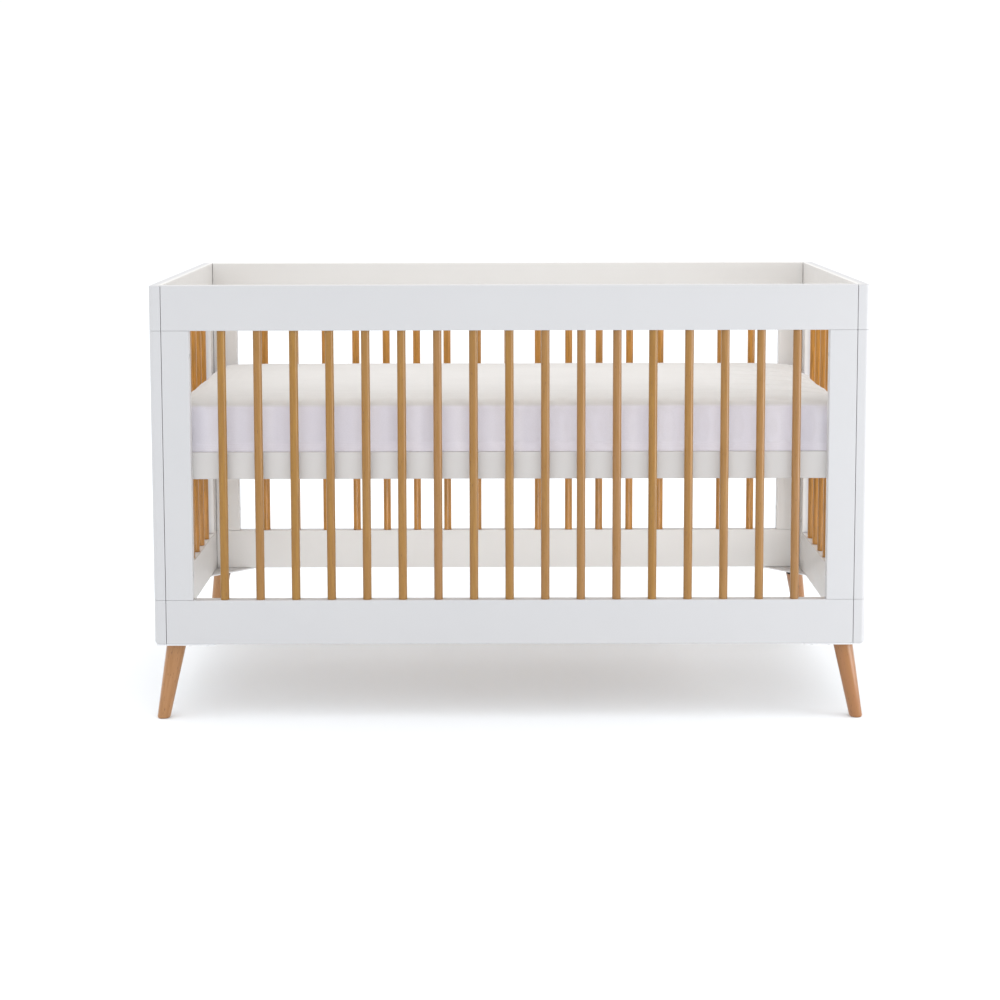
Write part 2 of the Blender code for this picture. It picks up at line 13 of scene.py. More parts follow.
import bmesh
import bpy
from mathutils import Matrix, Vector
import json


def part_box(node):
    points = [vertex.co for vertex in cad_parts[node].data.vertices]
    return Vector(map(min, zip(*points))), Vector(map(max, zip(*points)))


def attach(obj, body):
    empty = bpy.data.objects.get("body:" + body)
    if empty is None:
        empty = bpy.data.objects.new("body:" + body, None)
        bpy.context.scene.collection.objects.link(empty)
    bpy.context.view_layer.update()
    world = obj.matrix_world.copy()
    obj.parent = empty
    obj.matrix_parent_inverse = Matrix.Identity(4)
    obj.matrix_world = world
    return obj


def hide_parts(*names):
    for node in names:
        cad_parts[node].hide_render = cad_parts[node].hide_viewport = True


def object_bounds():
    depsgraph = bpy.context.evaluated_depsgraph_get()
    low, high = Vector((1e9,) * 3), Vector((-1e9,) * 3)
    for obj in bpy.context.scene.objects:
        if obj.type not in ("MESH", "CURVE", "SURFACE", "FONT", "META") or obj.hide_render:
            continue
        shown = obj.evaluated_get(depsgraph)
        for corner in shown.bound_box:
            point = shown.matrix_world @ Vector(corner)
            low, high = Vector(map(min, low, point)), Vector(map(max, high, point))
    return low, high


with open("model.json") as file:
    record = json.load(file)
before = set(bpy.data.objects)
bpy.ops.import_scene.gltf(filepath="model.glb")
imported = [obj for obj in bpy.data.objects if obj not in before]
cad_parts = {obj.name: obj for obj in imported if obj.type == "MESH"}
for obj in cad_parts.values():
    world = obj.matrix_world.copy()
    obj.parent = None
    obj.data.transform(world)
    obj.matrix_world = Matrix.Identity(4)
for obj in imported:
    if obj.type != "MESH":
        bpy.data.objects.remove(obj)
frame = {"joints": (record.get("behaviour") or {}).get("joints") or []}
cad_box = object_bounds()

print("whole crib, in metres:", [round(v, 3) for v in cad_box[1] - cad_box[0]])

# %% [markdown]
# ## The camera
#
# A long piece of furniture is viewed straight on, from a few metres back through a long lens, so that its
# rails stay level and its uprights stay upright. The camera looks down by less than six degrees. Part of
# the view's drop comes from a small lens shift, because a steeper tilt would make the uprights lean. The
# tiny roll is the kind that is left when a tripod stands on a studio floor.

# %% Place the camera
CAMERA_PLACE = Vector((-0.019, -4.431, 1.195))
CAMERA_PITCH = math.radians(5.705)
CAMERA_ROLL = math.radians(-0.11)
CAMERA_LENS = 71.8
SENSOR_WIDTH = 36.0
LENS_SHIFT = -0.16

bpy.ops.object.camera_add()
camera = bpy.context.object
camera.name = "camera"
camera.data.sensor_width = SENSOR_WIDTH
camera.data.lens = CAMERA_LENS
camera.data.shift_y = LENS_SHIFT
looking = Matrix.Rotation(math.pi / 2 - CAMERA_PITCH, 4, "X") @ Matrix.Rotation(CAMERA_ROLL, 4, "Z")
camera.matrix_world = Matrix.Translation(CAMERA_PLACE) @ looking
bpy.context.scene.camera = camera
print("camera", [round(v, 3) for v in camera.location], "lens", CAMERA_LENS, "mm")

# %% [markdown]
# ## The light
#
# White furniture is lit from everywhere, or its far sides turn grey. So the sky is plain white, like a
# studio with bounce boards all round, and a very soft sun overhead lifts the floor and the rails' top
# edges. One softbox stands to the right, low and almost beside the crib. It hardly changes the flat front
# faces, but every round spindle shows it as a soft gloss down its right half. A strip light lies low
# inside the crib, where the camera doesn't see it, so that the far side under the base isn't lost in
# shade. The view transform is Standard, because the default one greys down clean whites.

# %% Light the studio
WHITE = (1.0, 1.0, 1.0, 1.0)
SKY_STRENGTH = 1.03
SUN_PLACE = (-0.4, -0.6, 4.0)
SUN_STRENGTH = 1.35
SUN_ANGLE = math.radians(110)
SOFTBOX_PLACE = (2.75, -1.0, 0.62)
SOFTBOX_SIZE = (1.3, 1.2)
SOFTBOX_POWER = 25
STRIP_PLACE = (0.0, -0.30, 0.20)
STRIP_TARGET = (0.0, 0.36, 0.25)
STRIP_SIZE = (1.36, 0.06)
STRIP_POWER = 0.60
STRIP_SPREAD = math.radians(72)


def aimed(light, target):
    light.rotation_euler = (Vector(target) - light.location).to_track_quat("-Z", "Y").to_euler()


def softbox(name, spot, target, size, power):
    """A rectangular area light, width by height, that faces a point and isn't seen itself."""
    bpy.ops.object.light_add(type="AREA", location=spot)
    light = bpy.context.object
    light.name = name
    light.data.shape = "RECTANGLE"
    light.data.size, light.data.size_y = size
    light.data.energy = power
    light.visible_camera = False
    aimed(light, target)
    return light


scene = bpy.context.scene
scene.view_settings.view_transform = "Standard"
scene.view_settings.look = "None"
scene.world = bpy.data.worlds.new("white_studio")
scene.world.use_nodes = True
sky = scene.world.node_tree.nodes["Background"]
sky.inputs["Color"].default_value = WHITE
sky.inputs["Strength"].default_value = SKY_STRENGTH
crib_middle = (cad_box[0] + cad_box[1]) / 2
softbox("right_softbox", SOFTBOX_PLACE, crib_middle, SOFTBOX_SIZE, SOFTBOX_POWER)
strip = softbox("inner_strip", STRIP_PLACE, STRIP_TARGET, STRIP_SIZE, STRIP_POWER)
strip.data.spread = STRIP_SPREAD
bpy.ops.object.light_add(type="SUN", location=SUN_PLACE)
sun = bpy.context.object
sun.name = "overhead_sun"
sun.data.energy = SUN_STRENGTH
sun.data.angle = SUN_ANGLE
aimed(sun, crib_middle)
print("a softbox, a strip and a soft sun round", [round(v, 2) for v in crib_middle])

# %% [markdown]
# ## The floor
#
# The floor is a paper sweep: one large pale sheet. It isn't part of the crib, so it is only marked as the
# stage. It is much larger than the crib, so that its far edge meets the white sky.

# %% Lay the floor
FLOOR_SIZE = 60.0
PAPER_COLOUR = (0.86, 0.89, 0.92, 1.0)


def nothing_selected():
    """Leaves edit mode and deselects everything, because an operator acts on all that is selected."""
    if bpy.context.object and bpy.context.object.mode != "OBJECT":
        bpy.ops.object.mode_set(mode="OBJECT")
    bpy.ops.object.select_all(action="DESELECT")


nothing_selected()
bpy.ops.mesh.primitive_plane_add(size=FLOOR_SIZE)
floor = bpy.context.object
floor.name = "studio_floor"
paper = bpy.data.materials.new("studio_paper")
paper.use_nodes = True
paper_shader = paper.node_tree.nodes["Principled BSDF"]
paper_shader.inputs["Base Color"].default_value = PAPER_COLOUR
paper_shader.inputs["Roughness"].default_value = 0.9
paper_shader.inputs["Specular IOR Level"].default_value = 0.1
floor.data.materials.append(paper)
print("floor", FLOOR_SIZE, "m across")

# %% [markdown]
# ## Helpers for modelling
#
# Each piece starts as a primitive at its real size and place, is shaped in edit mode, and ends with its
# place in its mesh and its object at the origin. These helpers hold the few steps that every piece needs:
# add a box or a rod, pick edges or faces by their place, ease edges with a bevel, saw with a plane, cut
# with a Boolean, and shade the result.

# %% Helpers: starting a piece
def only(piece):
    """Selects one piece alone and makes it the active one."""
    nothing_selected()
    piece.select_set(True)
    bpy.context.view_layer.objects.active = piece


def named(name):
    """Applies the active object's place and gives it its name."""
    bpy.ops.object.transform_apply(location=True, rotation=True, scale=True)
    piece = bpy.context.object
    piece.name = name
    piece.data.name = name
    return piece


def box(name, low, high):
    """A box between two corners."""
    nothing_selected()
    low, high = Vector(low), Vector(high)
    bpy.ops.mesh.primitive_cube_add(size=1, location=(low + high) / 2, scale=high - low)
    return named(name)


def rod(name, start, end, radius, sides=32, end_radius=None):
    """A closed cylinder or cone from one point to another."""
    nothing_selected()
    start, end = Vector(start), Vector(end)
    axis = end - start
    bpy.ops.mesh.primitive_cone_add(
        vertices=sides,
        radius1=radius,
        radius2=radius if end_radius is None else end_radius,
        depth=axis.length,
        location=(start + end) / 2,
        rotation=axis.to_track_quat("Z", "Y").to_euler(),
    )
    return named(name)


# %% Helpers: picking and easing
SHARP_ANGLE = math.radians(40)
NEAR = 0.001  # how close to a level an edge must be to count as lying on it


def apply_modifier(piece, modifier):
    """Makes a modifier's result the piece's own mesh."""
    only(piece)
    bpy.ops.object.modifier_apply(modifier=modifier.name)


def pick(piece, kind, test):
    """Enters edit mode and selects the piece's edges or faces that pass a test."""
    only(piece)
    bpy.ops.object.mode_set(mode="EDIT")
    bpy.ops.mesh.select_mode(type=kind)
    bpy.ops.mesh.select_all(action="DESELECT")
    shape = bmesh.from_edit_mesh(piece.data)
    shape.normal_update()
    found = [e for e in (shape.edges if kind == "EDGE" else shape.faces) if test(e)]
    for element in found:
        element.select_set(True)
    bmesh.update_edit_mesh(piece.data)


def round_off(piece, width, test, segments=6):
    """Rounds the edges that pass a test with one wide bevel."""
    pick(piece, "EDGE", test)
    bpy.ops.mesh.bevel(offset=width, segments=segments, affect="EDGES")
    bpy.ops.object.mode_set(mode="OBJECT")


def ease(piece, width_of, segments=3):
    """Rounds every sharp edge by the width that width_of gives it. One bevel makes clean corners."""
    shape = bmesh.new()
    shape.from_mesh(piece.data)
    weights = shape.edges.layers.float.new("bevel_weight_edge")
    sharp = [e for e in shape.edges if e.calc_face_angle(0) > SHARP_ANGLE]
    widest = max(width_of(e) for e in sharp)
    for edge in sharp:
        edge[weights] = width_of(edge) / widest
    shape.to_mesh(piece.data)
    shape.free()
    modifier = piece.modifiers.new("eased", "BEVEL")
    modifier.width = widest
    modifier.segments = segments
    modifier.limit_method = "WEIGHT"
    apply_modifier(piece, modifier)
    piece.data.attributes.remove(piece.data.attributes["bevel_weight_edge"])


def middle_of(edge):
    return (edge.verts[0].co + edge.verts[1].co) / 2


def runs_along(edge, axis):
    """True for an edge that lies along X, Y or Z, given as 0, 1 or 2."""
    span = edge.verts[1].co - edge.verts[0].co
    return abs(span[axis]) > 0.999 * span.length


# %% Helpers: cutting and finishing
def sawn(piece, point, normal, **side):
    """Saws a piece along a plane with the bisect tool, drops one side and closes the cut."""
    pick(piece, "FACE", lambda face: True)
    bpy.ops.mesh.bisect(plane_co=point, plane_no=normal, use_fill=True, **side)
    bpy.ops.object.mode_set(mode="OBJECT")


def cut(piece, cutters):
    """Takes the cutters out of a piece one Boolean at a time, and deletes them."""
    for cutter in cutters:
        modifier = piece.modifiers.new("cut", "BOOLEAN")
        modifier.operation = "DIFFERENCE"
        modifier.object = cutter
        apply_modifier(piece, modifier)
        bpy.data.objects.remove(cutter, do_unlink=True)


def joined(pieces, name):
    """Several pieces made one object."""
    nothing_selected()
    for piece in pieces:
        piece.select_set(True)
    bpy.context.view_layer.objects.active = pieces[0]
    bpy.ops.object.join()
    return named(name)


def smooth(piece):
    """Shades a piece smooth, and keeps its large faces looking flat."""
    only(piece)
    bpy.ops.object.shade_smooth_by_angle(angle=SHARP_ANGLE)
    modifier = piece.modifiers.new("flat faces", "WEIGHTED_NORMAL")
    modifier.keep_sharp = True
    apply_modifier(piece, modifier)


def copied(piece, name, matrix):
    """A copy with its own mesh, moved or mirrored in its mesh."""
    twin = piece.copy()
    twin.data = piece.data.copy()
    twin.name = name
    twin.data.name = name
    bpy.context.collection.objects.link(twin)
    twin.data.transform(matrix)
    if matrix.determinant() < 0:
        twin.data.flip_normals()
    return twin


def place(piece, body, slot, finish, *nodes):
    """Gives a piece its finish and its body, and hides the plain solids that it stands for. Its slot is not
    used.
    """
    piece.data.materials.clear()
    piece.data.materials.append(finish)
    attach(piece, body)
    if nodes:
        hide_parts(*nodes)


# %% [markdown]
# ## Finishes
#
# A finish is a small network of nodes. Its pattern is worked out in space, from the piece's own
# coordinates in metres, so a scale of 1000 gives detail about a millimetre wide. What is the same all over,
# such as the strength of the gloss, is set on the shader itself.

# %% Helpers: nodes
def new_finish(name, **fixed):
    """A material with its Principled shader, and the sockets that are the same all over."""
    made = bpy.data.materials.new(name)
    made.use_nodes = True
    tree = made.node_tree
    shader = tree.nodes["Principled BSDF"]
    for socket, value in fixed.items():
        shader.inputs[socket.replace("_", " ")].default_value = value
    return made, tree, shader


def node(tree, kind, values=None, links=None, **settings):
    """One node with its settings, its sockets' values, and what is linked into it."""
    made = tree.nodes.new("ShaderNode" + kind)
    for key, value in settings.items():
        setattr(made, key, value)
    for key, value in (values or {}).items():
        made.inputs[key].default_value = value
    for key, source in (links or {}).items():
        tree.links.new(source, made.inputs[key])
    return made


def noise(tree, where, scale, detail=2.0, roughness=0.5):
    values = {"Scale": scale, "Detail": detail, "Roughness": roughness}
    made = node(tree, "TexNoise", values, {"Vector": where})
    return made.outputs["Factor" if "Factor" in made.outputs else "Fac"]


def spread(tree, value, low, high, new_low=0.0, new_high=1.0):
    """Moves a value from one range to another, held at both ends."""
    limits = {"From Min": low, "From Max": high, "To Min": new_low, "To Max": new_high}
    return node(tree, "MapRange", limits, {"Value": value}).outputs["Result"]


def mixed(tree, share, first, second):
    """A colour between two others. Each is a colour or a socket that gives one."""
    made = node(tree, "Mix", data_type="RGBA")
    tree.links.new(share, made.inputs["Factor"])
    for socket, colour in ((made.inputs[6], first), (made.inputs[7], second)):
        if isinstance(colour, tuple):
            socket.default_value = (*colour, 1.0)
        else:
            tree.links.new(colour, socket)
    return made.outputs[2]


def relief(tree, shader, height, distance):
    """Bumps the shader's surface by a height between 0 and 1, which stands for a distance in metres."""
    made = node(tree, "Bump", {"Distance": distance, "Strength": 1.0}, {"Height": height})
    tree.links.new(made.outputs["Normal"], shader.inputs["Normal"])


# %% [markdown]
# ### White paint
#
# The panels are sprayed with a satin lacquer. Up close, sprayed paint has a faint orange-peel skin with
# dimples about two millimetres apart, and a gloss that varies a little where more paint settled. A flat
# white would look like plastic, so the colour wanders by about one part in a hundred. The faces that look
# into the crib get a slightly warmer and lighter white than the outer ones: painted light, which stands in
# for the bounce light inside the crib. The base has a painted-light white of its own. How far a point lies
# inside the panels tells the painted-light inner white from the outer one.

# %% Make the white paint
back_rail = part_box("back_top_rail")
HALF_WALL = (back_rail[1].y - back_rail[0].y) / 2
PANEL_MIDDLE = cad_box[1] - Vector((HALF_WALL, HALF_WALL, 0))
PANEL_BLEND = 0.010
OUTER_WHITES = (0.524, 0.523, 0.536), (0.548, 0.546, 0.554)
# painted light: the inner whites are lighter and warmer than the outer ones, for the bounce light inside the
# crib
INNER_PAINTED_LIGHT_WHITES = (0.690, 0.676, 0.656), (0.722, 0.712, 0.698)
# painted light: the base's whites are lighter than the outer ones too
BASE_PAINTED_LIGHT_WHITES = (0.585, 0.568, 0.558), (0.615, 0.600, 0.590)


def painted_light_share(tree, here):
    """Share of painted light: 0 on the panels' outer half, 1 further in, from the larger of the two distances
    outwards.
    """
    parts = node(tree, "SeparateXYZ", links={"Vector": here}).outputs
    shares = []
    for axis, middle in (("X", PANEL_MIDDLE.x), ("Y", PANEL_MIDDLE.y)):
        away = node(tree, "Math", {}, {0: parts[axis]}, operation="ABSOLUTE").outputs[0]
        shares.append(spread(tree, away, middle - PANEL_BLEND, middle, 1.0, 0.0))
    return node(tree, "Math", {}, {0: shares[0], 1: shares[1]}, operation="MINIMUM").outputs[0]


def white_paint(name, painted_light_whites):
    made, tree, shader = new_finish(name, Specular_IOR_Level=0.4)
    here = node(tree, "TexCoord").outputs["Object"]
    clouds = noise(tree, here, 5.0, 3.0)
    outer = mixed(tree, clouds, *OUTER_WHITES)
    # painted light: the lighter, warmer white for the faces inside the crib
    inner = mixed(tree, clouds, *painted_light_whites)
    # painted light: the mask gives the faces inside the crib the lighter white
    tint = mixed(tree, painted_light_share(tree, here), outer, inner)
    tree.links.new(tint, shader.inputs["Base Color"])
    gloss = spread(tree, noise(tree, here, 38.0, 4.0), 0.3, 0.7, 0.36, 0.46)
    tree.links.new(gloss, shader.inputs["Roughness"])
    peel = noise(tree, here, 520.0, 1.0, 0.4)
    relief(tree, shader, peel, 0.00004)
    return made


PAINT = white_paint("satin_paint", INNER_PAINTED_LIGHT_WHITES)
BASE_PAINT = white_paint("base_paint", BASE_PAINTED_LIGHT_WHITES)
print("made", PAINT.name, "and", BASE_PAINT.name)

# %% [markdown]
# ### Wood
#
# A turned spindle and a leg show the same things: long soft streaks along the grain, finer fibres inside
# them, short dark rays where the cut crosses the wood's pores, and a rare pin knot. Each piece of wood also
# has a tone of its own. The pattern must run along the wood, whichever way the piece leans, so each wooden
# piece carries its own grain coordinates in an attribute: metres, with Z along the grain, and with a jump
# of its own so that no two pieces are cut from the same spot. A second attribute holds the tone: the lower
# half runs from ochre to a pinker brown, and the upper half to a deep orange.

# %% Make the woods
STREAK_SCALE = 110.0
RAY_SCALE = 620.0
KNOT_SCALE = 9.0
LONG_STRETCH = (1.0, 1.0, 0.07)  # streaks and fibres are fourteen times longer than wide
RAY_STRETCH = (1.0, 1.0, 0.16)


def wood(name, pale, deep, pink, orange, dark, streak=STREAK_SCALE, flecks=0.55):
    """A sealed wood: pale and deep streaks, two tones that pieces lean to, and dark rays."""
    made, tree, shader = new_finish(name, Specular_IOR_Level=0.1, Coat_Weight=1.0, Coat_Roughness=0.3)
    grain = node(tree, "Attribute", attribute_name="grain").outputs["Vector"]
    tone = node(tree, "Attribute", attribute_name="tone").outputs["Fac"]
    long_way = node(tree, "Mapping", {"Scale": LONG_STRETCH}, {"Vector": grain}).outputs[0]
    short_way = node(tree, "Mapping", {"Scale": RAY_STRETCH}, {"Vector": grain}).outputs[0]
    streaks = spread(tree, noise(tree, long_way, streak, 3.0, 0.6), 0.30, 0.72)
    fibres = noise(tree, long_way, streak * 7.0, 2.0, 0.6)
    wander = node(tree, "Math", {1: 0.35}, {0: fibres}, operation="MULTIPLY").outputs[0]
    blend = node(tree, "Math", {}, {0: streaks, 1: wander}, operation="ADD").outputs[0]
    share = spread(tree, blend, 0.15, 1.2)
    body = mixed(tree, share, pale, deep)
    body = mixed(tree, spread(tree, tone, 0.0, 0.5, 0.0, 0.8), body, pink)
    body = mixed(tree, spread(tree, tone, 0.5, 0.9, 0.0, 0.95), body, orange)
    bands = spread(tree, noise(tree, long_way, streak * 2.2, 1.0), 0.40, 0.64, 0.0, 0.55)
    body = mixed(tree, bands, body, deep)
    rays = spread(tree, noise(tree, short_way, RAY_SCALE, 1.0), 0.66, 0.76, 0.0, flecks)
    body = mixed(tree, rays, body, dark)
    knots = node(tree, "TexVoronoi", {"Scale": KNOT_SCALE}, {"Vector": grain}).outputs["Distance"]
    pin = spread(tree, knots, 0.010, 0.022, 0.8, 0.0)
    body = mixed(tree, pin, body, dark)
    tree.links.new(body, shader.inputs["Base Color"])
    shine = spread(tree, fibres, 0.3, 0.7, 0.38, 0.50)
    tree.links.new(shine, shader.inputs["Roughness"])
    relief(tree, shader, fibres, 0.00006)
    return made


SPINDLE_WOOD = wood(
    "oiled_spindle_wood",
    pale=(0.343, 0.172, 0.016),
    deep=(0.260, 0.116, 0.007),
    pink=(0.302, 0.148, 0.053),
    orange=(0.500, 0.215, 0.024),
    dark=(0.110, 0.045, 0.014),
)
LEG_WOOD = wood(
    "lacquered_beech",
    pale=(0.400, 0.198, 0.076),
    deep=(0.310, 0.140, 0.040),
    pink=(0.370, 0.176, 0.068),
    orange=(0.320, 0.132, 0.044),
    dark=(0.140, 0.060, 0.022),
    flecks=0.85,
)
SLAT_WOOD = wood(
    "planed_pine",
    pale=(0.700, 0.560, 0.370),
    deep=(0.560, 0.400, 0.220),
    pink=(0.640, 0.500, 0.330),
    orange=(0.600, 0.430, 0.250),
    dark=(0.300, 0.160, 0.070),
    streak=45.0,
)
print("made", SPINDLE_WOOD.name, LEG_WOOD.name, SLAT_WOOD.name)

# %% Lay the grain
PATTERN_REACH = 9.0  # how far from the origin, in metres, a piece's spot in the pattern may lie
chance = random.Random(7)


def lay_grain(piece, to_grain, palest=0.0, deepest=0.5):
    """Stores each point's place along the grain, and a tone of the piece's own between two limits."""
    jump = Vector([chance.uniform(-PATTERN_REACH, PATTERN_REACH) for _ in range(3)])
    tone = chance.uniform(palest, deepest)
    grain = piece.data.attributes.new("grain", "FLOAT_VECTOR", "POINT")
    for vertex in piece.data.vertices:
        grain.data[vertex.index].vector = to_grain @ vertex.co + jump
    tones = piece.data.attributes.new("tone", "FLOAT", "POINT")
    for value in tones.data:
        value.value = tone


print("grain taken from a pattern", 2 * PATTERN_REACH, "m across")

# %% [markdown]
# ### Metal and nylon
#
# The corner plates are steel with a white powder coat, which has a coarser skin than sprayed paint. The
# bolts, nuts and screws are steel with a zinc plating: it is bright but not a mirror, slightly blue, and
# blotched where the bath left it thicker. The legs' small wedges are black moulded nylon. All three are one
# fine pattern in colour and gloss with a shallow relief, so one function makes them.

# %% Make the metals and the nylon
def plain_skin(name, low, high, skin, gloss, bump, depth, **fixed):
    """A finish of one fine pattern. skin and bump are a noise's scale and detail."""
    made, tree, shader = new_finish(name, **fixed)
    here = node(tree, "TexCoord").outputs["Object"]
    pattern = noise(tree, here, *skin)
    tree.links.new(mixed(tree, pattern, low, high), shader.inputs["Base Color"])
    tree.links.new(spread(tree, pattern, 0.3, 0.7, *gloss), shader.inputs["Roughness"])
    relief(tree, shader, noise(tree, here, *bump), depth)
    return made


COAT = plain_skin(
    "powder_coat",
    low=(0.76, 0.76, 0.77),
    high=(0.83, 0.83, 0.84),
    skin=(900.0, 2.0),
    gloss=(0.42, 0.55),
    bump=(900.0, 2.0),
    depth=0.00008,
    Specular_IOR_Level=0.5,
)
ZINC = plain_skin(
    "zinc_plate",
    low=(0.56, 0.57, 0.60),
    high=(0.74, 0.75, 0.76),
    skin=(240.0, 3.0),
    gloss=(0.24, 0.40),
    bump=(1400.0, 1.0),
    depth=0.00002,
    Metallic=1.0,
)
NYLON = plain_skin(
    "black_nylon",
    low=(0.012, 0.010, 0.010),
    high=(0.026, 0.023, 0.022),
    skin=(700.0, 2.0),
    gloss=(0.48, 0.62),
    bump=(700.0, 2.0),
    depth=0.00005,
    Specular_IOR_Level=0.4,
)
print("made", COAT.name, ZINC.name, NYLON.name)

# %% [markdown]
# ## The side panels
#
# A side panel has two rails and two short uprights, the stiles, in one plane. The joiner eases the edges
# that a hand touches, and eases an edge only a little where one member meets another, so that the joint
# shows as a fine line. One bevel could give every edge the same width. Here each edge gets a weight
# first, so a single bevel makes both widths and the corners between them stay clean. The bores for the
# spindles are cut last, as a drill would.

# %% Measure the side panels
JOINT_EASE = 0.0008  # where one member meets another
PANEL_GAP = 0.0007  # the side panels are a little shorter than the room between the end panels
EDGE_EASE = 0.0018  # an edge that a hand touches
CLEARANCE = 0.0003
OVERSHOOT = 0.01  # how far a cutter stands past the face that it opens
SPINDLE_RADIUS = 0.009
SIDE_COUNT = 17
END_COUNT = 8
PLAIN_ROD_SIDES = 8
SIDES = {"front": -1, "back": 1}
ENDS = {"left": -1, "right": 1}

ROD_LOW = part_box("front_spindles")[0].z
ROD_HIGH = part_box("front_spindles")[1].z
OPENING_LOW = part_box("front_bottom_rail")[1].z
OPENING_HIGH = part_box("front_top_rail")[0].z
print("opening from", round(OPENING_LOW, 4), "to", round(OPENING_HIGH, 4), "m")


def spindle_row(node_name, axis, count):
    """Centres of one panel's spindles along its own direction, from the plain rods' box."""
    low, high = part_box(node_name)
    facet = SPINDLE_RADIUS * math.cos(math.pi / PLAIN_ROD_SIDES)
    first, last = low[axis] + facet, high[axis] - facet
    return [first + (last - first) * i / (count - 1) for i in range(count)]


SIDE_ROW = spindle_row("front_spindles", 0, SIDE_COUNT)
END_ROW = spindle_row("left_spindles", 1, END_COUNT)
print("pitch: sides", round(SIDE_ROW[1] - SIDE_ROW[0], 4), "ends", round(END_ROW[1] - END_ROW[0], 4))


# %% Make the side rails
def spindle_bores(node_name, row, axis):
    """Cutters for the spindle seats of a rail, which stop where the spindles do."""
    low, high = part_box(node_name)
    point = (low + high) / 2
    is_top = point.z > OPENING_HIGH
    start = low.z - OVERSHOOT if is_top else ROD_LOW - CLEARANCE
    end = ROD_HIGH + CLEARANCE if is_top else high.z + OVERSHOOT
    made = []
    for along in row:
        point[axis] = along
        made.append(rod("bore", (*point.xy, start), (*point.xy, end), SPINDLE_RADIUS + CLEARANCE, 40))
    return joined(made, "bores")


def beside_opening(edge):
    """True for an edge between the levels of the opening, its own lower and upper line included."""
    return OPENING_LOW - NEAR < middle_of(edge).z < OPENING_HIGH + NEAR


def side_rail_ease(edge):
    """A side rail's edges are eased little at its ends and round the opening, more elsewhere."""
    return EDGE_EASE if runs_along(edge, 0) and not beside_opening(edge) else JOINT_EASE


def set_member(node_name, low, high, width_of, cutters, rounded=None, body="frame", finish=PAINT):
    """Makes one painted member in its plain one's place: a box, rounded, eased, and then bored."""
    member = box(f"painted_{node_name}", low, high)
    if rounded:
        round_off(member, *rounded)
    ease(member, width_of)
    cut(member, cutters)
    smooth(member)
    place(member, body, "white_paint", finish, node_name)
    print(member.name, len(member.data.polygons), "faces")


for panel in SIDES:
    for level in ("top", "bottom"):
        node_name = f"{panel}_{level}_rail"
        low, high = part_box(node_name)
        gap = Vector((PANEL_GAP, 0, 0))
        bores = [spindle_bores(node_name, SIDE_ROW, 0)]
        set_member(node_name, low + gap, high - gap, side_rail_ease, bores)

# %% [markdown]
# ### The stiles
#
# Two long cap screws hold each stile to the end panel. Their heads sit in counterbores in the stile's
# inner edge, where a key can reach them. Each hole is cut with a wide rod for the head and a narrow one
# for the shank.

# %% Make the stiles
HEAD_RADIUS = 0.005
SHANK_RADIUS = 0.003
HEAD_HEIGHT = 0.006
SCREW_OVERSHOOT = 0.004  # the cutters' overshoot in the small holes
STILE_MIDDLE = abs(sum(corner.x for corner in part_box("front_right_stile"))) / 2


def lying_screw(node_name):
    """Where a plain bolt along X has its crown and its tip, which way it points, and its y and z."""
    low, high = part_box(node_name)
    middle = (low + high) / 2
    outward = 1 if middle.x > 0 else -1
    crown, tip = (low.x, high.x) if outward > 0 else (high.x, low.x)
    return crown, tip, outward, middle.y, middle.z


def screw_hole(bolt_node, mouth):
    """Cutters for one panel bolt: a counterbore for its head and a hole right through."""
    crown, tip, outward, y, z = lying_screw(bolt_node)
    seat = crown + outward * (HEAD_HEIGHT + CLEARANCE)
    back = tip + outward * SCREW_OVERSHOOT
    wide = rod("wide", (mouth, y, z), (seat, y, z), HEAD_RADIUS + CLEARANCE)
    narrow = rod("narrow", (crown, y, z), (back, y, z), SHANK_RADIUS + CLEARANCE)
    return [wide, narrow]


def upright_ease(axis, middle):
    """Widths for an upright: its two edges beside the spindles are free, and the rest are joints."""

    def width_of(edge):
        return EDGE_EASE if runs_along(edge, 2) and abs(middle_of(edge)[axis]) < middle else JOINT_EASE

    return width_of


for panel in SIDES:
    for end, end_sign in ENDS.items():
        node_name = f"{panel}_{end}_stile"
        low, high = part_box(node_name)
        inner = min(abs(low.x), abs(high.x))
        low.x += PANEL_GAP if end_sign < 0 else 0
        high.x -= PANEL_GAP if end_sign > 0 else 0
        holes = []
        for level in ("lower", "upper"):
            holes += screw_hole(f"{panel}_{end}_{level}_panel_bolt", end_sign * (inner - SCREW_OVERSHOOT))
        set_member(node_name, low, high, upright_ease(0, STILE_MIDDLE), holes)

# %% [markdown]
# ## The end panels
#
# The end panels wrap round the sides, so they carry the crib's soft outer corners: the upright edges and
# the bottom edge that faces out are rounded like a finger's width. That wide round is made first, with more
# segments, and the small easing follows on whatever is still sharp. The posts also hold rows of threaded
# bushes, where the mattress base is bolted at one of three heights.

# %% Measure the end panels
CORNER_ROUND = 0.009
HALF_LENGTH = cad_box[1].x
HALF_WIDTH = cad_box[1].y
INNER_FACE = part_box("right_front_post")[0].x
PANEL_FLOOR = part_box("left_bottom_rail")[0].z
POST_MIDDLE = abs(sum(corner.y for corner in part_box("left_back_post"))) / 2
BUSH_RADIUS = 0.004
BUSH_DEPTH = 0.013
base_joint = next(j for j in frame["joints"] if j["name"] == "base_height")
BASE_TRAVEL = max(abs(limit) for limit in base_joint["range_m"])
base_bolt_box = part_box("base_back_right_bolt")
BASE_BOLT_Y = (base_bolt_box[0].y + base_bolt_box[1].y) / 2
BASE_BOLT_Z = (base_bolt_box[0].z + base_bolt_box[1].z) / 2
BUSH_HEIGHTS = [BASE_BOLT_Z - BASE_TRAVEL * share for share in (0, 0.5, 1)]
print("bushes at", [round(z, 4) for z in BUSH_HEIGHTS])


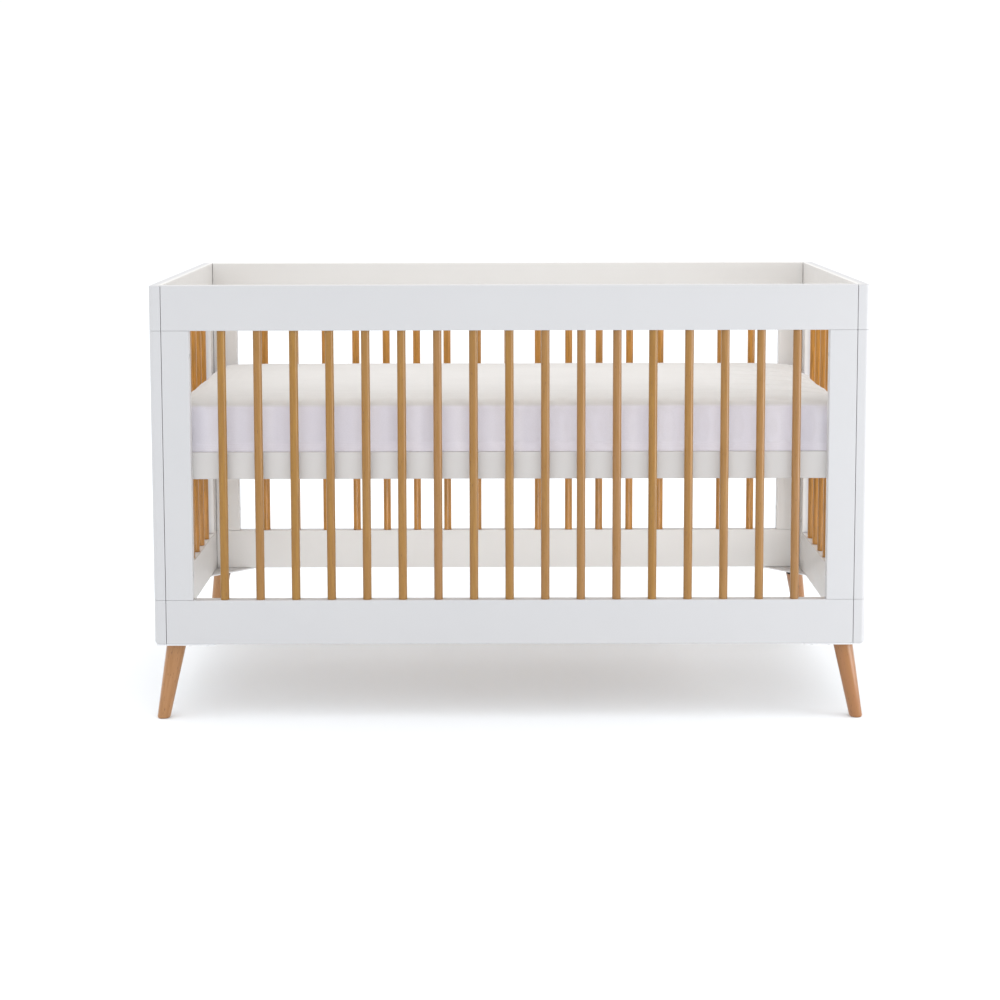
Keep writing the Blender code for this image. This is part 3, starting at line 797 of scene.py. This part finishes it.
# %% Make the end rails and posts
def outer_corner(edge):
    """An end panel's outer upright edges, and the outer edge along its bottom."""
    middle = middle_of(edge)
    at_end = abs(middle.x) > HALF_LENGTH - NEAR
    upright = runs_along(edge, 2) and abs(middle.y) > HALF_WIDTH - NEAR
    under = runs_along(edge, 1) and middle.z < PANEL_FLOOR + NEAR
    return at_end and (upright or under)


def end_rail_ease(edge):
    """A joint faces the opening or the side panels. Other edges of an end rail are free."""
    meets_side = runs_along(edge, 2) and abs(middle_of(edge).x) < INNER_FACE + NEAR
    return JOINT_EASE if beside_opening(edge) or meets_side else EDGE_EASE


corner_round = (CORNER_ROUND, outer_corner)
for end, end_sign in ENDS.items():
    for level in ("top", "bottom"):
        node_name = f"{end}_{level}_rail"
        bores = [spindle_bores(node_name, END_ROW, 1)]
        set_member(node_name, *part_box(node_name), end_rail_ease, bores, corner_round)
    for side, side_sign in SIDES.items():
        node_name = f"{end}_{side}_post"
        face, y = end_sign * (INNER_FACE - SCREW_OVERSHOOT), side_sign * BASE_BOLT_Y
        depth = end_sign * (INNER_FACE + BUSH_DEPTH + CLEARANCE)
        holes = [rod("hole", (face, y, z), (depth, y, z), BUSH_RADIUS + CLEARANCE) for z in BUSH_HEIGHTS]
        set_member(node_name, *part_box(node_name), upright_ease(1, POST_MIDDLE), holes, corner_round)

# %% [markdown]
# ## The spindles
#
# Fifty spindles are glued into the rails. Each is a plain dowel, turned on a lathe, with a small chamfer at
# both ends to start it into its bore. It is modelled once, as a rod with a one-step bevel, and copied.
# Every copy has its own mesh, because every copy has its own grain and tone. Wood differs from board to
# board, and here the front panel's dowels are paler than the others.

# %% Turn one spindle and copy it
SPINDLE_CHAMFER = 0.001
FRONT_TONES = (0.0, 0.5)
OTHER_TONES = (0.78, 1.0)

pattern = rod("spindle_pattern", (0, 0, ROD_LOW), (0, 0, ROD_HIGH), SPINDLE_RADIUS, 32)
ease(pattern, lambda edge: SPINDLE_CHAMFER, segments=1)
smooth(pattern)


def set_spindles(panel, row, spot, tones):
    """Copies the pattern into one panel. spot gives x and y for a place along the panel."""
    for number, along in enumerate(row, 1):
        x, y = spot(along)
        spindle = copied(pattern, f"{panel}_spindle_{number:02d}", Matrix.Translation((x, y, 0)))
        lay_grain(spindle, Matrix.Translation((-x, -y, 0)), *tones)
        place(spindle, "frame", "spindle_wood", SPINDLE_WOOD, f"{panel}_spindles")


def panel_middle(panel, axis):
    low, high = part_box(f"{panel}_top_rail")
    return (low[axis] + high[axis]) / 2


for panel in SIDES:
    y = panel_middle(panel, 1)
    tones = FRONT_TONES if panel == "front" else OTHER_TONES
    set_spindles(panel, SIDE_ROW, lambda along: (along, y), tones)
for panel in ENDS:
    x = panel_middle(panel, 0)
    set_spindles(panel, END_ROW, lambda along: (x, along), OTHER_TONES)
bpy.data.objects.remove(pattern)
print(2 * len(SIDE_ROW) + 2 * len(END_ROW), "spindles")

# %% [markdown]
# ## The legs
#
# Each leg is a cone of beech that leans outwards along both walls and is sawn level at the floor. The cone
# is first made a little too long, and the bisect tool then saws it, as the maker does. The foot's rim is
# rounded so that it doesn't splinter.

# %% Find the line of a leg
LEG_FOOT_RADIUS = 0.01325
LEG_TOP_RADIUS = 0.020
FOOT_ROUND = 0.0042
TOP_ROUND = 0.0010
LEG_TONES = {"left": (0.0, 0.3), "right": (0.7, 0.9)}  # the left pair and the right pair differ
AIMING_ROUNDS = 6

leg_low, leg_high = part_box("back_right_leg")
leg_span = leg_high.x - leg_low.x


def leg_points():
    """Centres of the back right leg's foot and top. The top's tilt is found in a few rounds."""
    lean, rise = leg_span - LEG_FOOT_RADIUS - LEG_TOP_RADIUS, leg_high.z
    for _ in range(AIMING_ROUNDS):
        axis = Vector((lean, lean, rise)).normalized()
        lean = leg_span - LEG_FOOT_RADIUS - LEG_TOP_RADIUS * math.sqrt(1 - axis.x**2)
        rise = leg_high.z - LEG_TOP_RADIUS * math.sqrt(1 - axis.z**2)
    foot = Vector((leg_high.x - LEG_FOOT_RADIUS, leg_high.y - LEG_FOOT_RADIUS, 0))
    return foot, foot + Vector((-lean, -lean, rise))


FOOT, LEG_TOP = leg_points()
LEG_AXIS = (LEG_TOP - FOOT).normalized()
LEAN = math.degrees(math.acos(LEG_AXIS.z))
print("leg leans", round(LEAN, 1), "degrees and is", round((LEG_TOP - FOOT).length, 4), "m long")


# %% Turn one leg, saw it level and mirror it
def turned_leg():
    slope = (LEG_TOP_RADIUS - LEG_FOOT_RADIUS) / (LEG_TOP - FOOT).length
    extra = LEG_FOOT_RADIUS
    start = FOOT - LEG_AXIS * extra
    leg = rod("leg_pattern", start, LEG_TOP, LEG_FOOT_RADIUS - slope * extra, 64, LEG_TOP_RADIUS)
    sawn(leg, (0, 0, 0), (0, 0, 1), clear_inner=True)
    ease(leg, lambda edge: FOOT_ROUND if middle_of(edge).z < LEG_FOOT_RADIUS else TOP_ROUND, segments=4)
    smooth(leg)
    return leg


upright = LEG_AXIS.rotation_difference(Vector((0, 0, 1))).to_matrix().to_4x4() @ Matrix.Translation(-FOOT)


def set_corners(pattern, last_name, slot, finish, plain=None, tones=None):
    """Puts a mirrored copy at all four corners. plain is the last name of the solids it stands for."""
    for side, y_sign in SIDES.items():
        for end, x_sign in ENDS.items():
            mirror = Matrix.Diagonal((x_sign, y_sign, 1, 1))
            piece = copied(pattern, f"{side}_{end}_{last_name}", mirror)
            if tones:
                lay_grain(piece, upright @ mirror, *tones[end])
            nodes = [f"{side}_{end}_{plain}"] if plain else []
            place(piece, "frame", slot, finish, *nodes)
    print("four of", last_name, "with", len(pattern.data.polygons), "faces each")
    bpy.data.objects.remove(pattern)


set_corners(turned_leg(), "turned_leg", "leg_wood", LEG_WOOD, "leg", LEG_TONES)

# %% [markdown]
# A leg's top is square to the leg, so it tilts under the level plate. A black nylon wedge fills the gap and
# takes the load. It is a disc on the leg's own line, sawn level by the bisect tool where it meets the plate.

# %% Make the wedges
WEDGE_RADIUS = 0.0188
STUD_REACH = LEG_AXIS * 0.02  # along the leg's line, from its top to well above the plate
PLATE_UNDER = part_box("back_right_corner_plate")[0].z

wedge = rod("wedge_pattern", LEG_TOP, LEG_TOP + STUD_REACH, WEDGE_RADIUS, 48)
sawn(wedge, (0, 0, PLATE_UNDER), (0, 0, 1), clear_outer=True)
smooth(wedge)
set_corners(wedge, "wedge", None, NYLON)
print("thickest", round(PLATE_UNDER - LEG_TOP.z + LEG_TOP_RADIUS * LEG_AXIS.x, 4), "m")

# %% [markdown]
# ## Corner plates, screws and studs
#
# A leg isn't screwed into the panels. It hangs on a stud through a triangular steel plate, and the plate
# spreads the load over both panels with four wood screws. The triangle is a square plate that the bisect
# tool cuts in half. Its corners are rounded for safety. The pan-head screws stand proud under the plate,
# each with a domed rim and a cross recess.

# %% Make the corner plates
PLATE_LEG = 0.126  # along each straight edge, before the corners are rounded
PLATE_ROUND = 0.006
PLATE_EASE = 0.0005
STUD_RADIUS = 0.004
PLATE_SCREW_RADIUS = 0.0022
PLATE_SCREW_STEPS = (0.0722, 0.1084)  # from the crib's outer corner, along each wall

plate_low, plate_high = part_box("back_right_corner_plate")
screw_spots = []
for along in PLATE_SCREW_STEPS:
    screw_spots.append(Vector((HALF_LENGTH - along, HALF_WIDTH - HALF_WALL)))
    screw_spots.append(Vector((HALF_LENGTH - HALF_WALL, HALF_WIDTH - along)))


def corner_plate():
    corner = Vector((plate_high.x, plate_high.y))
    far = corner - Vector((PLATE_LEG, PLATE_LEG))
    plate = box("plate_pattern", (*far, plate_low.z), plate_high)
    sawn(plate, ((corner.x + far.x) / 2, (corner.y + far.y) / 2, 0), (1, 1, 0), clear_inner=True)
    round_off(plate, PLATE_ROUND, lambda edge: runs_along(edge, 2))
    ease(plate, lambda edge: PLATE_EASE, segments=2)
    low, high = plate_low.z - OVERSHOOT, plate_high.z + OVERSHOOT
    holes = [rod("hole", LEG_TOP - STUD_REACH, LEG_TOP + STUD_REACH, STUD_RADIUS + CLEARANCE)]
    for spot in screw_spots:
        holes.append(rod("hole", (*spot, low), (*spot, high), PLATE_SCREW_RADIUS))
    cut(plate, holes)
    smooth(plate)
    return plate


set_corners(corner_plate(), "plate", "white_metal", COAT, "corner_plate")

# %% Make the plates' screws
PAN_RADIUS = 0.0038
PAN_HEIGHT = 0.0024
PLATE_SCREW_REACH = 0.006  # how far the shank goes up through the plate into the wood
RECESS_OVERSHOOT = 0.002


def cross_recess(top, width, depth, down):
    """Cutters for a cross recess: two crossed bars. down is -1 for a head that faces up."""
    x, y, z = top
    low, high = sorted((z - down * RECESS_OVERSHOOT, z + down * depth))
    bar = width / 6
    return [
        box("bar", (x - width / 2, y - bar, low), (x + width / 2, y + bar, high)),
        box("bar", (x - bar, y - width / 2, low), (x + bar, y + width / 2, high)),
    ]


def pan_head_screw(name, spot, seat):
    """A screw whose domed head hangs below its seat."""
    x, y = spot
    crown = seat - PAN_HEIGHT
    head = rod(name, (x, y, crown), (x, y, seat), PAN_RADIUS, 24)
    round_off(head, PAN_HEIGHT * 0.6, lambda e: max(v.co.z for v in e.verts) < seat - PAN_HEIGHT / 2, 4)
    cut(head, cross_recess((x, y, crown), PAN_RADIUS * 1.2, PAN_HEIGHT * 0.55, 1))
    start, end = (x, y, seat - PAN_HEIGHT / 4), (x, y, seat + PLATE_SCREW_REACH)
    shank = rod("shank", start, end, PLATE_SCREW_RADIUS - CLEARANCE, 16)
    screw = joined([head, shank], name)
    smooth(screw)
    return screw


for number, spot in enumerate(screw_spots, 1):
    screw = pan_head_screw(f"plate_screw_{number}", spot, plate_low.z)
    set_corners(screw, f"plate_screw_{number}", "zinc_steel", ZINC)

# %% [markdown]
# The stud is a threaded rod, and a thread is a fine helix. It shows only above the nut, so it is cheaper as
# relief in the metal: a zigzag along the stud's own length that rises for a millimetre and a quarter and
# falls for the same again.

# %% Make the studs and nuts
NUT_WIDTH = 0.013
NUT_HEIGHT = 0.0065
NUT_DROP = 0.004  # how far the stud's tip stands out of its nut
NUT_RIM_EASE = 0.0007
NUT_EDGE_EASE = 0.0003
NUT_PLAY = 0.0001
THREAD_RISE = 0.00125  # half of one tooth, along the stud
THREAD_DEPTH = 0.0006
STUD_SUNK = 0.035  # how much of the stud is inside the leg
STUD_EASE = 0.0006
STUD_SHY = 0.001  # the stud's tip stops this far short of its plain solid's top
STUD_TONES = {"left": (0.0, 0.5), "right": (0.0, 0.5)}  # its grain carries the thread, its tone is unused


def threaded_zinc():
    made, tree, shader = new_finish("zinc_thread", Metallic=1.0, Roughness=0.34)
    grain = node(tree, "Attribute", attribute_name="grain").outputs["Vector"]
    blotch = noise(tree, grain, 240.0, 3.0)
    tint = mixed(tree, blotch, (0.52, 0.53, 0.56), (0.70, 0.71, 0.72))
    tree.links.new(tint, shader.inputs["Base Color"])
    along = node(tree, "SeparateXYZ", links={"Vector": grain}).outputs["Z"]
    turns = node(tree, "Math", {1: THREAD_RISE}, {0: along}, operation="PINGPONG").outputs[0]
    relief(tree, shader, spread(tree, turns, 0.0, THREAD_RISE), THREAD_DEPTH)
    return made


def nut_ease(edge):
    """A nut's six long corners are eased less than its two rims."""
    rise = (edge.verts[1].co - edge.verts[0].co).dot(LEG_AXIS)
    return NUT_RIM_EASE if abs(rise) < NEAR else NUT_EDGE_EASE


THREAD = threaded_zinc()
stud_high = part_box("back_right_leg_stud")[1]
stud_tip = LEG_TOP + LEG_AXIS * ((stud_high.z - LEG_TOP.z) / LEG_AXIS.z - STUD_SHY)
nut_crown = stud_tip - LEG_AXIS * NUT_DROP
stud = rod("stud_pattern", LEG_TOP - LEG_AXIS * STUD_SUNK, stud_tip, STUD_RADIUS, 32)
ease(stud, lambda edge: STUD_EASE, segments=1)
smooth(stud)
nut = rod("nut_pattern", nut_crown - LEG_AXIS * NUT_HEIGHT, nut_crown, NUT_WIDTH / math.sqrt(3), 6)
ease(nut, nut_ease, 2)
cut(nut, [rod("bore", nut_crown - STUD_REACH, nut_crown + STUD_REACH, STUD_RADIUS + NUT_PLAY)])
smooth(nut)
set_corners(stud, "stud", "zinc_steel", THREAD, "leg_stud", STUD_TONES)
set_corners(nut, "nut", "zinc_steel", ZINC)

# %% [markdown]
# ## Bolts and bushes
#
# A cap screw has a drum head with a six-sided socket for a key. The same function makes the panel bolts and
# the shorter base bolts: a drum with an eased rim, a six-sided rod cut out of it, and a shank. A base bolt
# is moved again and again, so it doesn't turn in wood but in a bush, a short steel tube let into the post.

# %% Make the cap screws
SOCKET_WIDTH = 0.005
SOCKET_DEPTH = 0.003
CROWN_EASE = 0.0006
SEAT_EASE = 0.0002
SHANK_EASE = 0.0004
SHANK_OVERLAP = 0.001  # how far the shank reaches into the head


def cap_screw(node_name, body):
    """A cap screw that lies along X in its plain node's box, head towards the crib's middle."""
    name = f"{node_name}_screw"
    crown, tip, outward, y, z = lying_screw(node_name)
    seat = crown + outward * HEAD_HEIGHT
    head = rod(name, (crown, y, z), (seat, y, z), HEAD_RADIUS, 32)
    ease(head, lambda edge: CROWN_EASE if abs(middle_of(edge).x) < abs(seat) - NEAR else SEAT_EASE, 2)
    mouth, floor_x = crown - outward * SCREW_OVERSHOOT, crown + outward * SOCKET_DEPTH
    cut(head, [rod("key", (mouth, y, z), (floor_x, y, z), SOCKET_WIDTH / math.sqrt(3), 6)])
    shank = rod("shank", (seat - outward * SHANK_OVERLAP, y, z), (tip, y, z), SHANK_RADIUS, 24)
    ease(shank, lambda edge: SHANK_EASE, 1)
    screw = joined([head, shank], name)
    smooth(screw)
    place(screw, body, "zinc_steel", ZINC, node_name)


for side in SIDES:
    for end in ENDS:
        cap_screw(f"{side}_{end}_lower_panel_bolt", "frame")
        cap_screw(f"{side}_{end}_upper_panel_bolt", "frame")
        cap_screw(f"base_{side}_{end}_bolt", "base")
print("eight panel bolts and four base bolts")

# %% Make the bushes in the posts
BUSH_EASE = 0.0004
BUSH_BORE = SHANK_RADIUS + CLEARANCE / 3

for end, end_sign in ENDS.items():
    for side, side_sign in SIDES.items():
        for height, z in zip(("high", "middle", "low"), BUSH_HEIGHTS):
            y = side_sign * BASE_BOLT_Y
            face, back = end_sign * INNER_FACE, end_sign * (INNER_FACE + BUSH_DEPTH)
            past = end_sign * SCREW_OVERSHOOT
            bush = rod(f"{end}_{side}_{height}_bush", (face, y, z), (back, y, z), BUSH_RADIUS, 32)
            ease(bush, lambda edge: BUSH_EASE, 2)
            cut(bush, [rod("bore", (face - past, y, z), (back + past, y, z), BUSH_BORE)])
            smooth(bush)
            place(bush, "frame", "zinc_steel", ZINC)
print("twelve bushes")

# %% [markdown]
# ## The mattress base
#
# The base is a shallow frame with eleven slats. Its long rails have a ledge that carries the slats' ends,
# so the slats lie level with the rails' top edges and the mattress rests on all of it. The ledge is a
# rebate, cut with one long box.

# %% Make the base frame
SLAT_SEAT = 0.010
BASE_EASE = 0.0015
slat_low, slat_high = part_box("slat_01")
BASE_TOP = slat_high.z
SLAT_FLOOR = slat_low.z - CLEARANCE
CROSS_INNER = abs(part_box("base_left_rail")[1].x)
base_look = {"body": "base", "finish": BASE_PAINT}


def crosswise_ease(width):
    """Widths for a member that lies along Y: the given one lengthwise, and joints at its ends."""
    return lambda edge: width if runs_along(edge, 1) else JOINT_EASE


for side, side_sign in SIDES.items():
    node_name = f"base_{side}_rail"
    low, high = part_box(node_name)
    inner = min(abs(low.y), abs(high.y))
    near, far = sorted((side_sign * (inner - OVERSHOOT), side_sign * (inner + SLAT_SEAT)))
    rebate = box("rebate", (-CROSS_INNER, near, SLAT_FLOOR), (CROSS_INNER, far, BASE_TOP + OVERSHOOT))
    set_member(node_name, low, high, lambda edge: BASE_EASE, [rebate], **base_look)
for end in ENDS:
    node_name = f"base_{end}_rail"
    low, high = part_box(node_name)
    holes = []
    for side_sign in SIDES.values():
        line = side_sign * BASE_BOLT_Y, BASE_BOLT_Z
        start, finish = (low.x - OVERSHOOT, *line), (high.x + OVERSHOOT, *line)
        holes.append(rod("hole", start, finish, SHANK_RADIUS + CLEARANCE))
    set_member(node_name, low, high, crosswise_ease(BASE_EASE), holes, **base_look)
print("base frame", round(high.y - low.y, 3), "m between the long rails")

# %% [markdown]
# ### The slats
#
# Slats are cheap planed pine: pale, with broad rings and a knot here and there. The long edges are rounded
# so that they don't cut the cover. One countersunk screw holds each end.

# %% Make the slats and their screws
SLAT_EASE = 0.0014
SLAT_SCREW_RADIUS = 0.0034
SLAT_SCREW_NECK = 0.0016
SLAT_SCREW_DEPTH = 0.0026
SLAT_SCREW_SUNK = 0.0002
SINK_PLAY = 0.0002
SLAT_RECESS = (0.0038, 0.0012)  # the cross recess's width and depth
slat_y = slat_high.y - SLAT_SEAT / 2
grain_along_y = Matrix.Rotation(math.pi / 2, 4, "X")


def slat_screw(x, y, top):
    """A countersunk screw, flush with the slat."""
    point = (x, y, top - SLAT_SCREW_DEPTH)
    head = rod("slat_screw", point, (x, y, top), SLAT_SCREW_NECK, 24, SLAT_SCREW_RADIUS)
    cut(head, cross_recess((x, y, top), *SLAT_RECESS, -1))
    smooth(head)
    return head


def countersink(x, y):
    """The cutter for a slat screw's seat, a little wider and deeper than the screw."""
    point, mouth = (x, y, BASE_TOP - SLAT_SCREW_DEPTH - CLEARANCE), (x, y, BASE_TOP + 0.0001)
    return rod("sink", point, mouth, SLAT_SCREW_NECK + SINK_PLAY, 24, SLAT_SCREW_RADIUS + SINK_PLAY)


first_screw = slat_screw(0, 0, BASE_TOP - SLAT_SCREW_SUNK)
for number in range(1, 12):
    node_name = f"slat_{number:02d}"
    low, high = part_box(node_name)
    x = (low.x + high.x) / 2
    slat = box(f"pine_{node_name}", low, high)
    ease(slat, crosswise_ease(SLAT_EASE))
    for end_name, y in (("front", -slat_y), ("back", slat_y)):
        cut(slat, [countersink(x, y)])
        screw = copied(first_screw, f"{node_name}_{end_name}_screw", Matrix.Translation((x, y, 0)))
        place(screw, "base", "zinc_steel", ZINC)
    smooth(slat)
    lay_grain(slat, grain_along_y @ Matrix.Translation((-x, 0, -BASE_TOP)))
    place(slat, "base", "slat_wood", SLAT_WOOD, node_name)
bpy.data.objects.remove(first_screw)
print("eleven slats and twenty-two screws")

# %% [markdown]
# ## The mattress
#
# A foam mattress in a stretch cover isn't a block. The cover pulls the long sides in between the corners,
# the top swells into a low crown, and the rims are soft. All of that comes from stuffing pressing on cloth,
# so the cloth is simulated: a slightly small rounded block is remeshed into even squares, blown up for
# twenty steps without gravity, and stopped before it turns into a balloon.

# %% Cut and stuff the mattress
PLAN_ROUND = 0.022
RIM_ROUND = 0.008
SHRINK = 0.004  # the cover is cut this much smaller, and the stuffing fills it out
TOP_SHRINK = 0.001
VOXEL = 0.010
PRESSURE = 4.0
STEPS = 20
SWELL_LIMIT = 0.005

bed_low, bed_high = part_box("mattress")


def covered_block():
    """A rounded block, remeshed into even squares."""
    margin = Vector((SHRINK, SHRINK, 0))
    block = box("stuffed_mattress", bed_low + margin, bed_high - margin - Vector((0, 0, TOP_SHRINK)))
    round_off(block, PLAN_ROUND, lambda edge: runs_along(edge, 2), 8)
    round_off(block, RIM_ROUND, lambda edge: edge.calc_face_angle(0) > SHARP_ANGLE, 5)
    modifier = block.modifiers.new("even squares", "REMESH")
    modifier.mode = "VOXEL"
    modifier.voxel_size = VOXEL
    apply_modifier(block, modifier)
    return block


def stuffed(block):
    """Blows the block up by cloth simulation, and limits how far each point may move."""
    start = [vertex.co.copy() for vertex in block.data.vertices]
    modifier = block.modifiers.new("stuffing", "CLOTH")
    modifier.settings.use_pressure = True
    modifier.settings.uniform_pressure_force = PRESSURE
    modifier.settings.effector_weights.gravity = 0
    modifier.point_cache.frame_end = STEPS
    for step in range(1, STEPS + 1):
        scene.frame_set(step)
    apply_modifier(block, modifier)
    scene.frame_set(1)
    for vertex, before in zip(block.data.vertices, start):
        move = vertex.co - before
        if move.length > 0:
            vertex.co = before + move * (SWELL_LIMIT * math.tanh(move.length / SWELL_LIMIT) / move.length)


mattress = covered_block()
stuffed(mattress)
modifier = mattress.modifiers.new("finer", "SUBSURF")
modifier.levels = 1
modifier.render_levels = 1
apply_modifier(mattress, modifier)
print("mattress", len(mattress.data.polygons), "faces")

# %% [markdown]
# The simulation gives the swell. The details that a tailor would point at are then moved, each by a
# small formula. They come in three steps. First comes the outline, with its waist, its crown and the lower
# edge that lies out over the base's rails. Then come the folds, and last the flat underside.

# %% Shape the mattress's outline
CROWN = 0.005
WAIST = 0.0025
END_WAIST_SHARE = 0.6
RIM_RISE = 0.0045
TOP_REACH = 0.35  # the share of the height, from the top down, that the top's shapes fade over
HEM_REACH = 0.02
HEM_SHARE = 0.22
HEM_OUT = 0.0025  # how far the lower edge lies out over the base's long rails
SIDE_FILL = 0.005  # what the cloth's own pull takes from the walls is given back
BED_HALF = (bed_high - bed_low) / 2
BED_HEIGHT = bed_high.z - bed_low.z


def hump(distance, width):
    """1 at no distance, falling smoothly to 0 at a width."""
    share = max(0.0, 1.0 - abs(distance) / width)
    return share * share * (3 - 2 * share)


def outwards(value, amount):
    """A coordinate moved away from the middle. The amount's own sign doesn't count."""
    return value + math.copysign(amount, value)


def inwards(value, amount):
    """A coordinate moved towards the middle. The amount's own sign doesn't count."""
    return value - math.copysign(amount, value)


def outline(x, y, z, along, across, up):
    """Fills the walls, lays the hem out, and pulls in the waist. along, across and up are shares."""
    x = outwards(x, SIDE_FILL * abs(along) ** 12)
    y = outwards(y, SIDE_FILL * abs(across) ** 6)
    spare_x, spare_y = BED_HALF.x - abs(x), BED_HALF.y - abs(y)
    hem = hump(up, HEM_SHARE)
    if spare_x < min(spare_y, HEM_REACH):
        x = outwards(x, hem * (spare_x + HEM_OUT))
    if spare_y < min(spare_x, HEM_REACH):
        y = outwards(y, hem * (spare_y + HEM_OUT))
    y = inwards(y, WAIST * (1 - hem) * (1 - along**2) * abs(across))
    x = inwards(x, WAIST * (1 - hem) * END_WAIST_SHARE * (1 - across**2) * abs(along))
    on_top = hump(1 - up, TOP_REACH)
    z += on_top * (RIM_RISE * (1 - along**8) + CROWN * (1 - along**4) * (1 - across**2))
    return x, y, z, on_top


print("crown", CROWN + RIM_RISE, "m, waist", WAIST, "m")

# %% [markdown]
# The border's folds are upright waves along its length, which a slow second wave keeps from being regular.
# Every half wave dips inwards, and every second dip is painted darker: painted shadow that stands in for the
# spindles' shadows on the border. Where the cover turns over the rim it is gathered, and near the right end
# it is pulled into a few tension creases. Each point stores a share of painted shade for the cloth's colour:
# deep in a gather or a crease, and on every second dip of the border.

# %% Fold the cover
FOLD_PITCH = 0.0737
FOLD_DEPTH = 0.0024
BORDER_REACH = 0.02
BORDER_SHARE = 0.55
GATHER_DEPTH = 0.0030
GATHER_LINE = 0.012  # how far in from the edge the gathers are deepest
GATHER_REACH = 0.035
CREASE_PITCH = 0.088
CREASE_DEPTH = 0.0034
CREASE_WIDTH = 0.16  # as a share of the pitch
CREASE_WANDER = 0.03
CREASE_REACH = 0.34
HEM_LIFT = 0.003  # the lowest part of the rim that its own weight presses flat


def folded(x, y, z, along, up, on_top):
    """Folds the border, gathers the rim and creases the right end. Gives each point's share of painted shade
    too.
    """
    rim = min(BED_HALF.x - abs(x), BED_HALF.y - abs(y))
    border = hump(rim, BORDER_REACH) * hump(up - 0.5, BORDER_SHARE)
    wave = math.sin(2 * math.pi * x / FOLD_PITCH + 1.4 * math.sin(3.1 * x) + 0.6)
    y = inwards(y, FOLD_DEPTH * border * (0.6 + 0.4 * math.tanh(3 * along)) * wave)
    ripple = math.sin(2 * math.pi * (x + 0.35 * abs(y)) / FOLD_PITCH + 2 * math.sin(5.3 * x)) ** 3
    gather = hump(rim - GATHER_LINE, GATHER_REACH) * (0.5 + 0.5 * ripple)
    z -= GATHER_DEPTH * on_top * gather
    row = (y + CREASE_WANDER * math.sin(9 * x)) / CREASE_PITCH
    crease = hump(x - BED_HALF.x, CREASE_REACH) * hump(row - round(row), CREASE_WIDTH)
    z -= CREASE_DEPTH * on_top * crease
    # painted shade: darker in the gathers and creases, and painted spindle shadow on every second dip of the
    # border
    depth = on_top * (0.7 * gather + crease) + 0.5 * border * (0.5 - 0.5 * wave)
    return x, y, z, depth


def tailor(point):
    """Moves one point of the cover, and tells its share of painted shade, from 0 to 1."""
    x, y, z = point
    along, across, up = x / BED_HALF.x, y / BED_HALF.y, (z - bed_low.z) / BED_HEIGHT
    x, y, z, on_top = outline(x, y, z, along, across, up)
    x, y, z, depth = folded(x, y, z, along, up, on_top)
    z = bed_low.z + max(0.0, z - bed_low.z - HEM_LIFT) * (1 + HEM_LIFT / BED_HEIGHT)
    return (x, y, z), depth


# each point's share of painted shade is stored in an attribute
folds = mattress.data.attributes.new("fold_painted_shade", "FLOAT", "POINT")
for vertex in mattress.data.vertices:
    vertex.co, folds.data[vertex.index].value = tailor(vertex.co)
mattress.data.update()
only(mattress)
bpy.ops.object.shade_smooth()
heights = [vertex.co.z for vertex in mattress.data.vertices]
print("mattress from", round(min(heights), 4), "to", round(max(heights), 4), "m above the floor")

# %% [markdown]
# The cover is a fine stretch knit. Its loops are about a millimetre and a half apart, which a slightly
# jittered cell pattern gives on every side of the mattress alike. The border is cut from a cooler cloth
# than the top, and the top has the faint clouds that soft cloth gets from handling. The border's soft
# upright bands are painted shadow, standing in for the spindles' shadows on it. The share of painted shade
# stored on each point darkens the cloth in the gathers, the creases and the border's darker dips.

# %% Make the cover
RIM_LINE = bed_high.z - 0.009
RIM_BLUR = 0.003
LOOP_SCALE = 640.0
LOOP_DEPTH = 0.00025
# how dark the painted shade gets at its deepest
FOLD_SHADE = 0.30


def stretch_knit():
    made, tree, shader = new_finish("stretch_knit", Roughness=0.95, Sheen_Weight=0.12, Specular_IOR_Level=0.2)
    here = node(tree, "TexCoord").outputs["Object"]
    height = node(tree, "SeparateXYZ", links={"Vector": here}).outputs["Z"]
    is_top = spread(tree, height, RIM_LINE - RIM_BLUR, RIM_LINE + RIM_BLUR)
    clouds = noise(tree, here, 11.0, 4.0)
    # painted shadow: soft upright bands stand in for the spindles' shadows on the border
    standing = node(tree, "Mapping", {"Scale": (1.0, 0.4, 0.02)}, {"Vector": here}).outputs[0]
    painted_shadow_bands = spread(tree, noise(tree, standing, 26.0, 1.0), 0.34, 0.66)
    top = mixed(tree, clouds, (0.610, 0.594, 0.575), (0.668, 0.652, 0.635))
    # the border's colour follows the painted shadow bands
    border = mixed(tree, painted_shadow_bands, (0.695, 0.672, 0.742), (0.775, 0.752, 0.815))
    cloth = mixed(tree, is_top, border, top)
    # painted shade: the share stored on each point darkens the gathers, the creases and the border's dips
    depth = node(tree, "Attribute", attribute_name="fold_painted_shade").outputs["Fac"]
    cloth = mixed(tree, spread(tree, depth, 0.1, 1.0, 0.0, FOLD_SHADE), cloth, (0.46, 0.42, 0.40))
    cells = node(tree, "TexVoronoi", {"Scale": LOOP_SCALE, "Randomness": 0.35}, {"Vector": here})
    gaps = spread(tree, cells.outputs["Distance"], 0.0, 0.6)
    cloth = mixed(tree, spread(tree, gaps, 0.4, 1.0, 0.0, 0.16), cloth, (0.42, 0.40, 0.40))
    tree.links.new(cloth, shader.inputs["Base Color"])
    loops = node(tree, "Math", {0: 1.0}, {1: gaps}, operation="SUBTRACT").outputs[0]
    relief(tree, shader, loops, LOOP_DEPTH)
    return made


KNIT = stretch_knit()
place(mattress, "mattress", "mattress_cover", KNIT, "mattress")
print("made", KNIT.name)

# %% [markdown]
# ## Finish
#

# %% Finish
import json
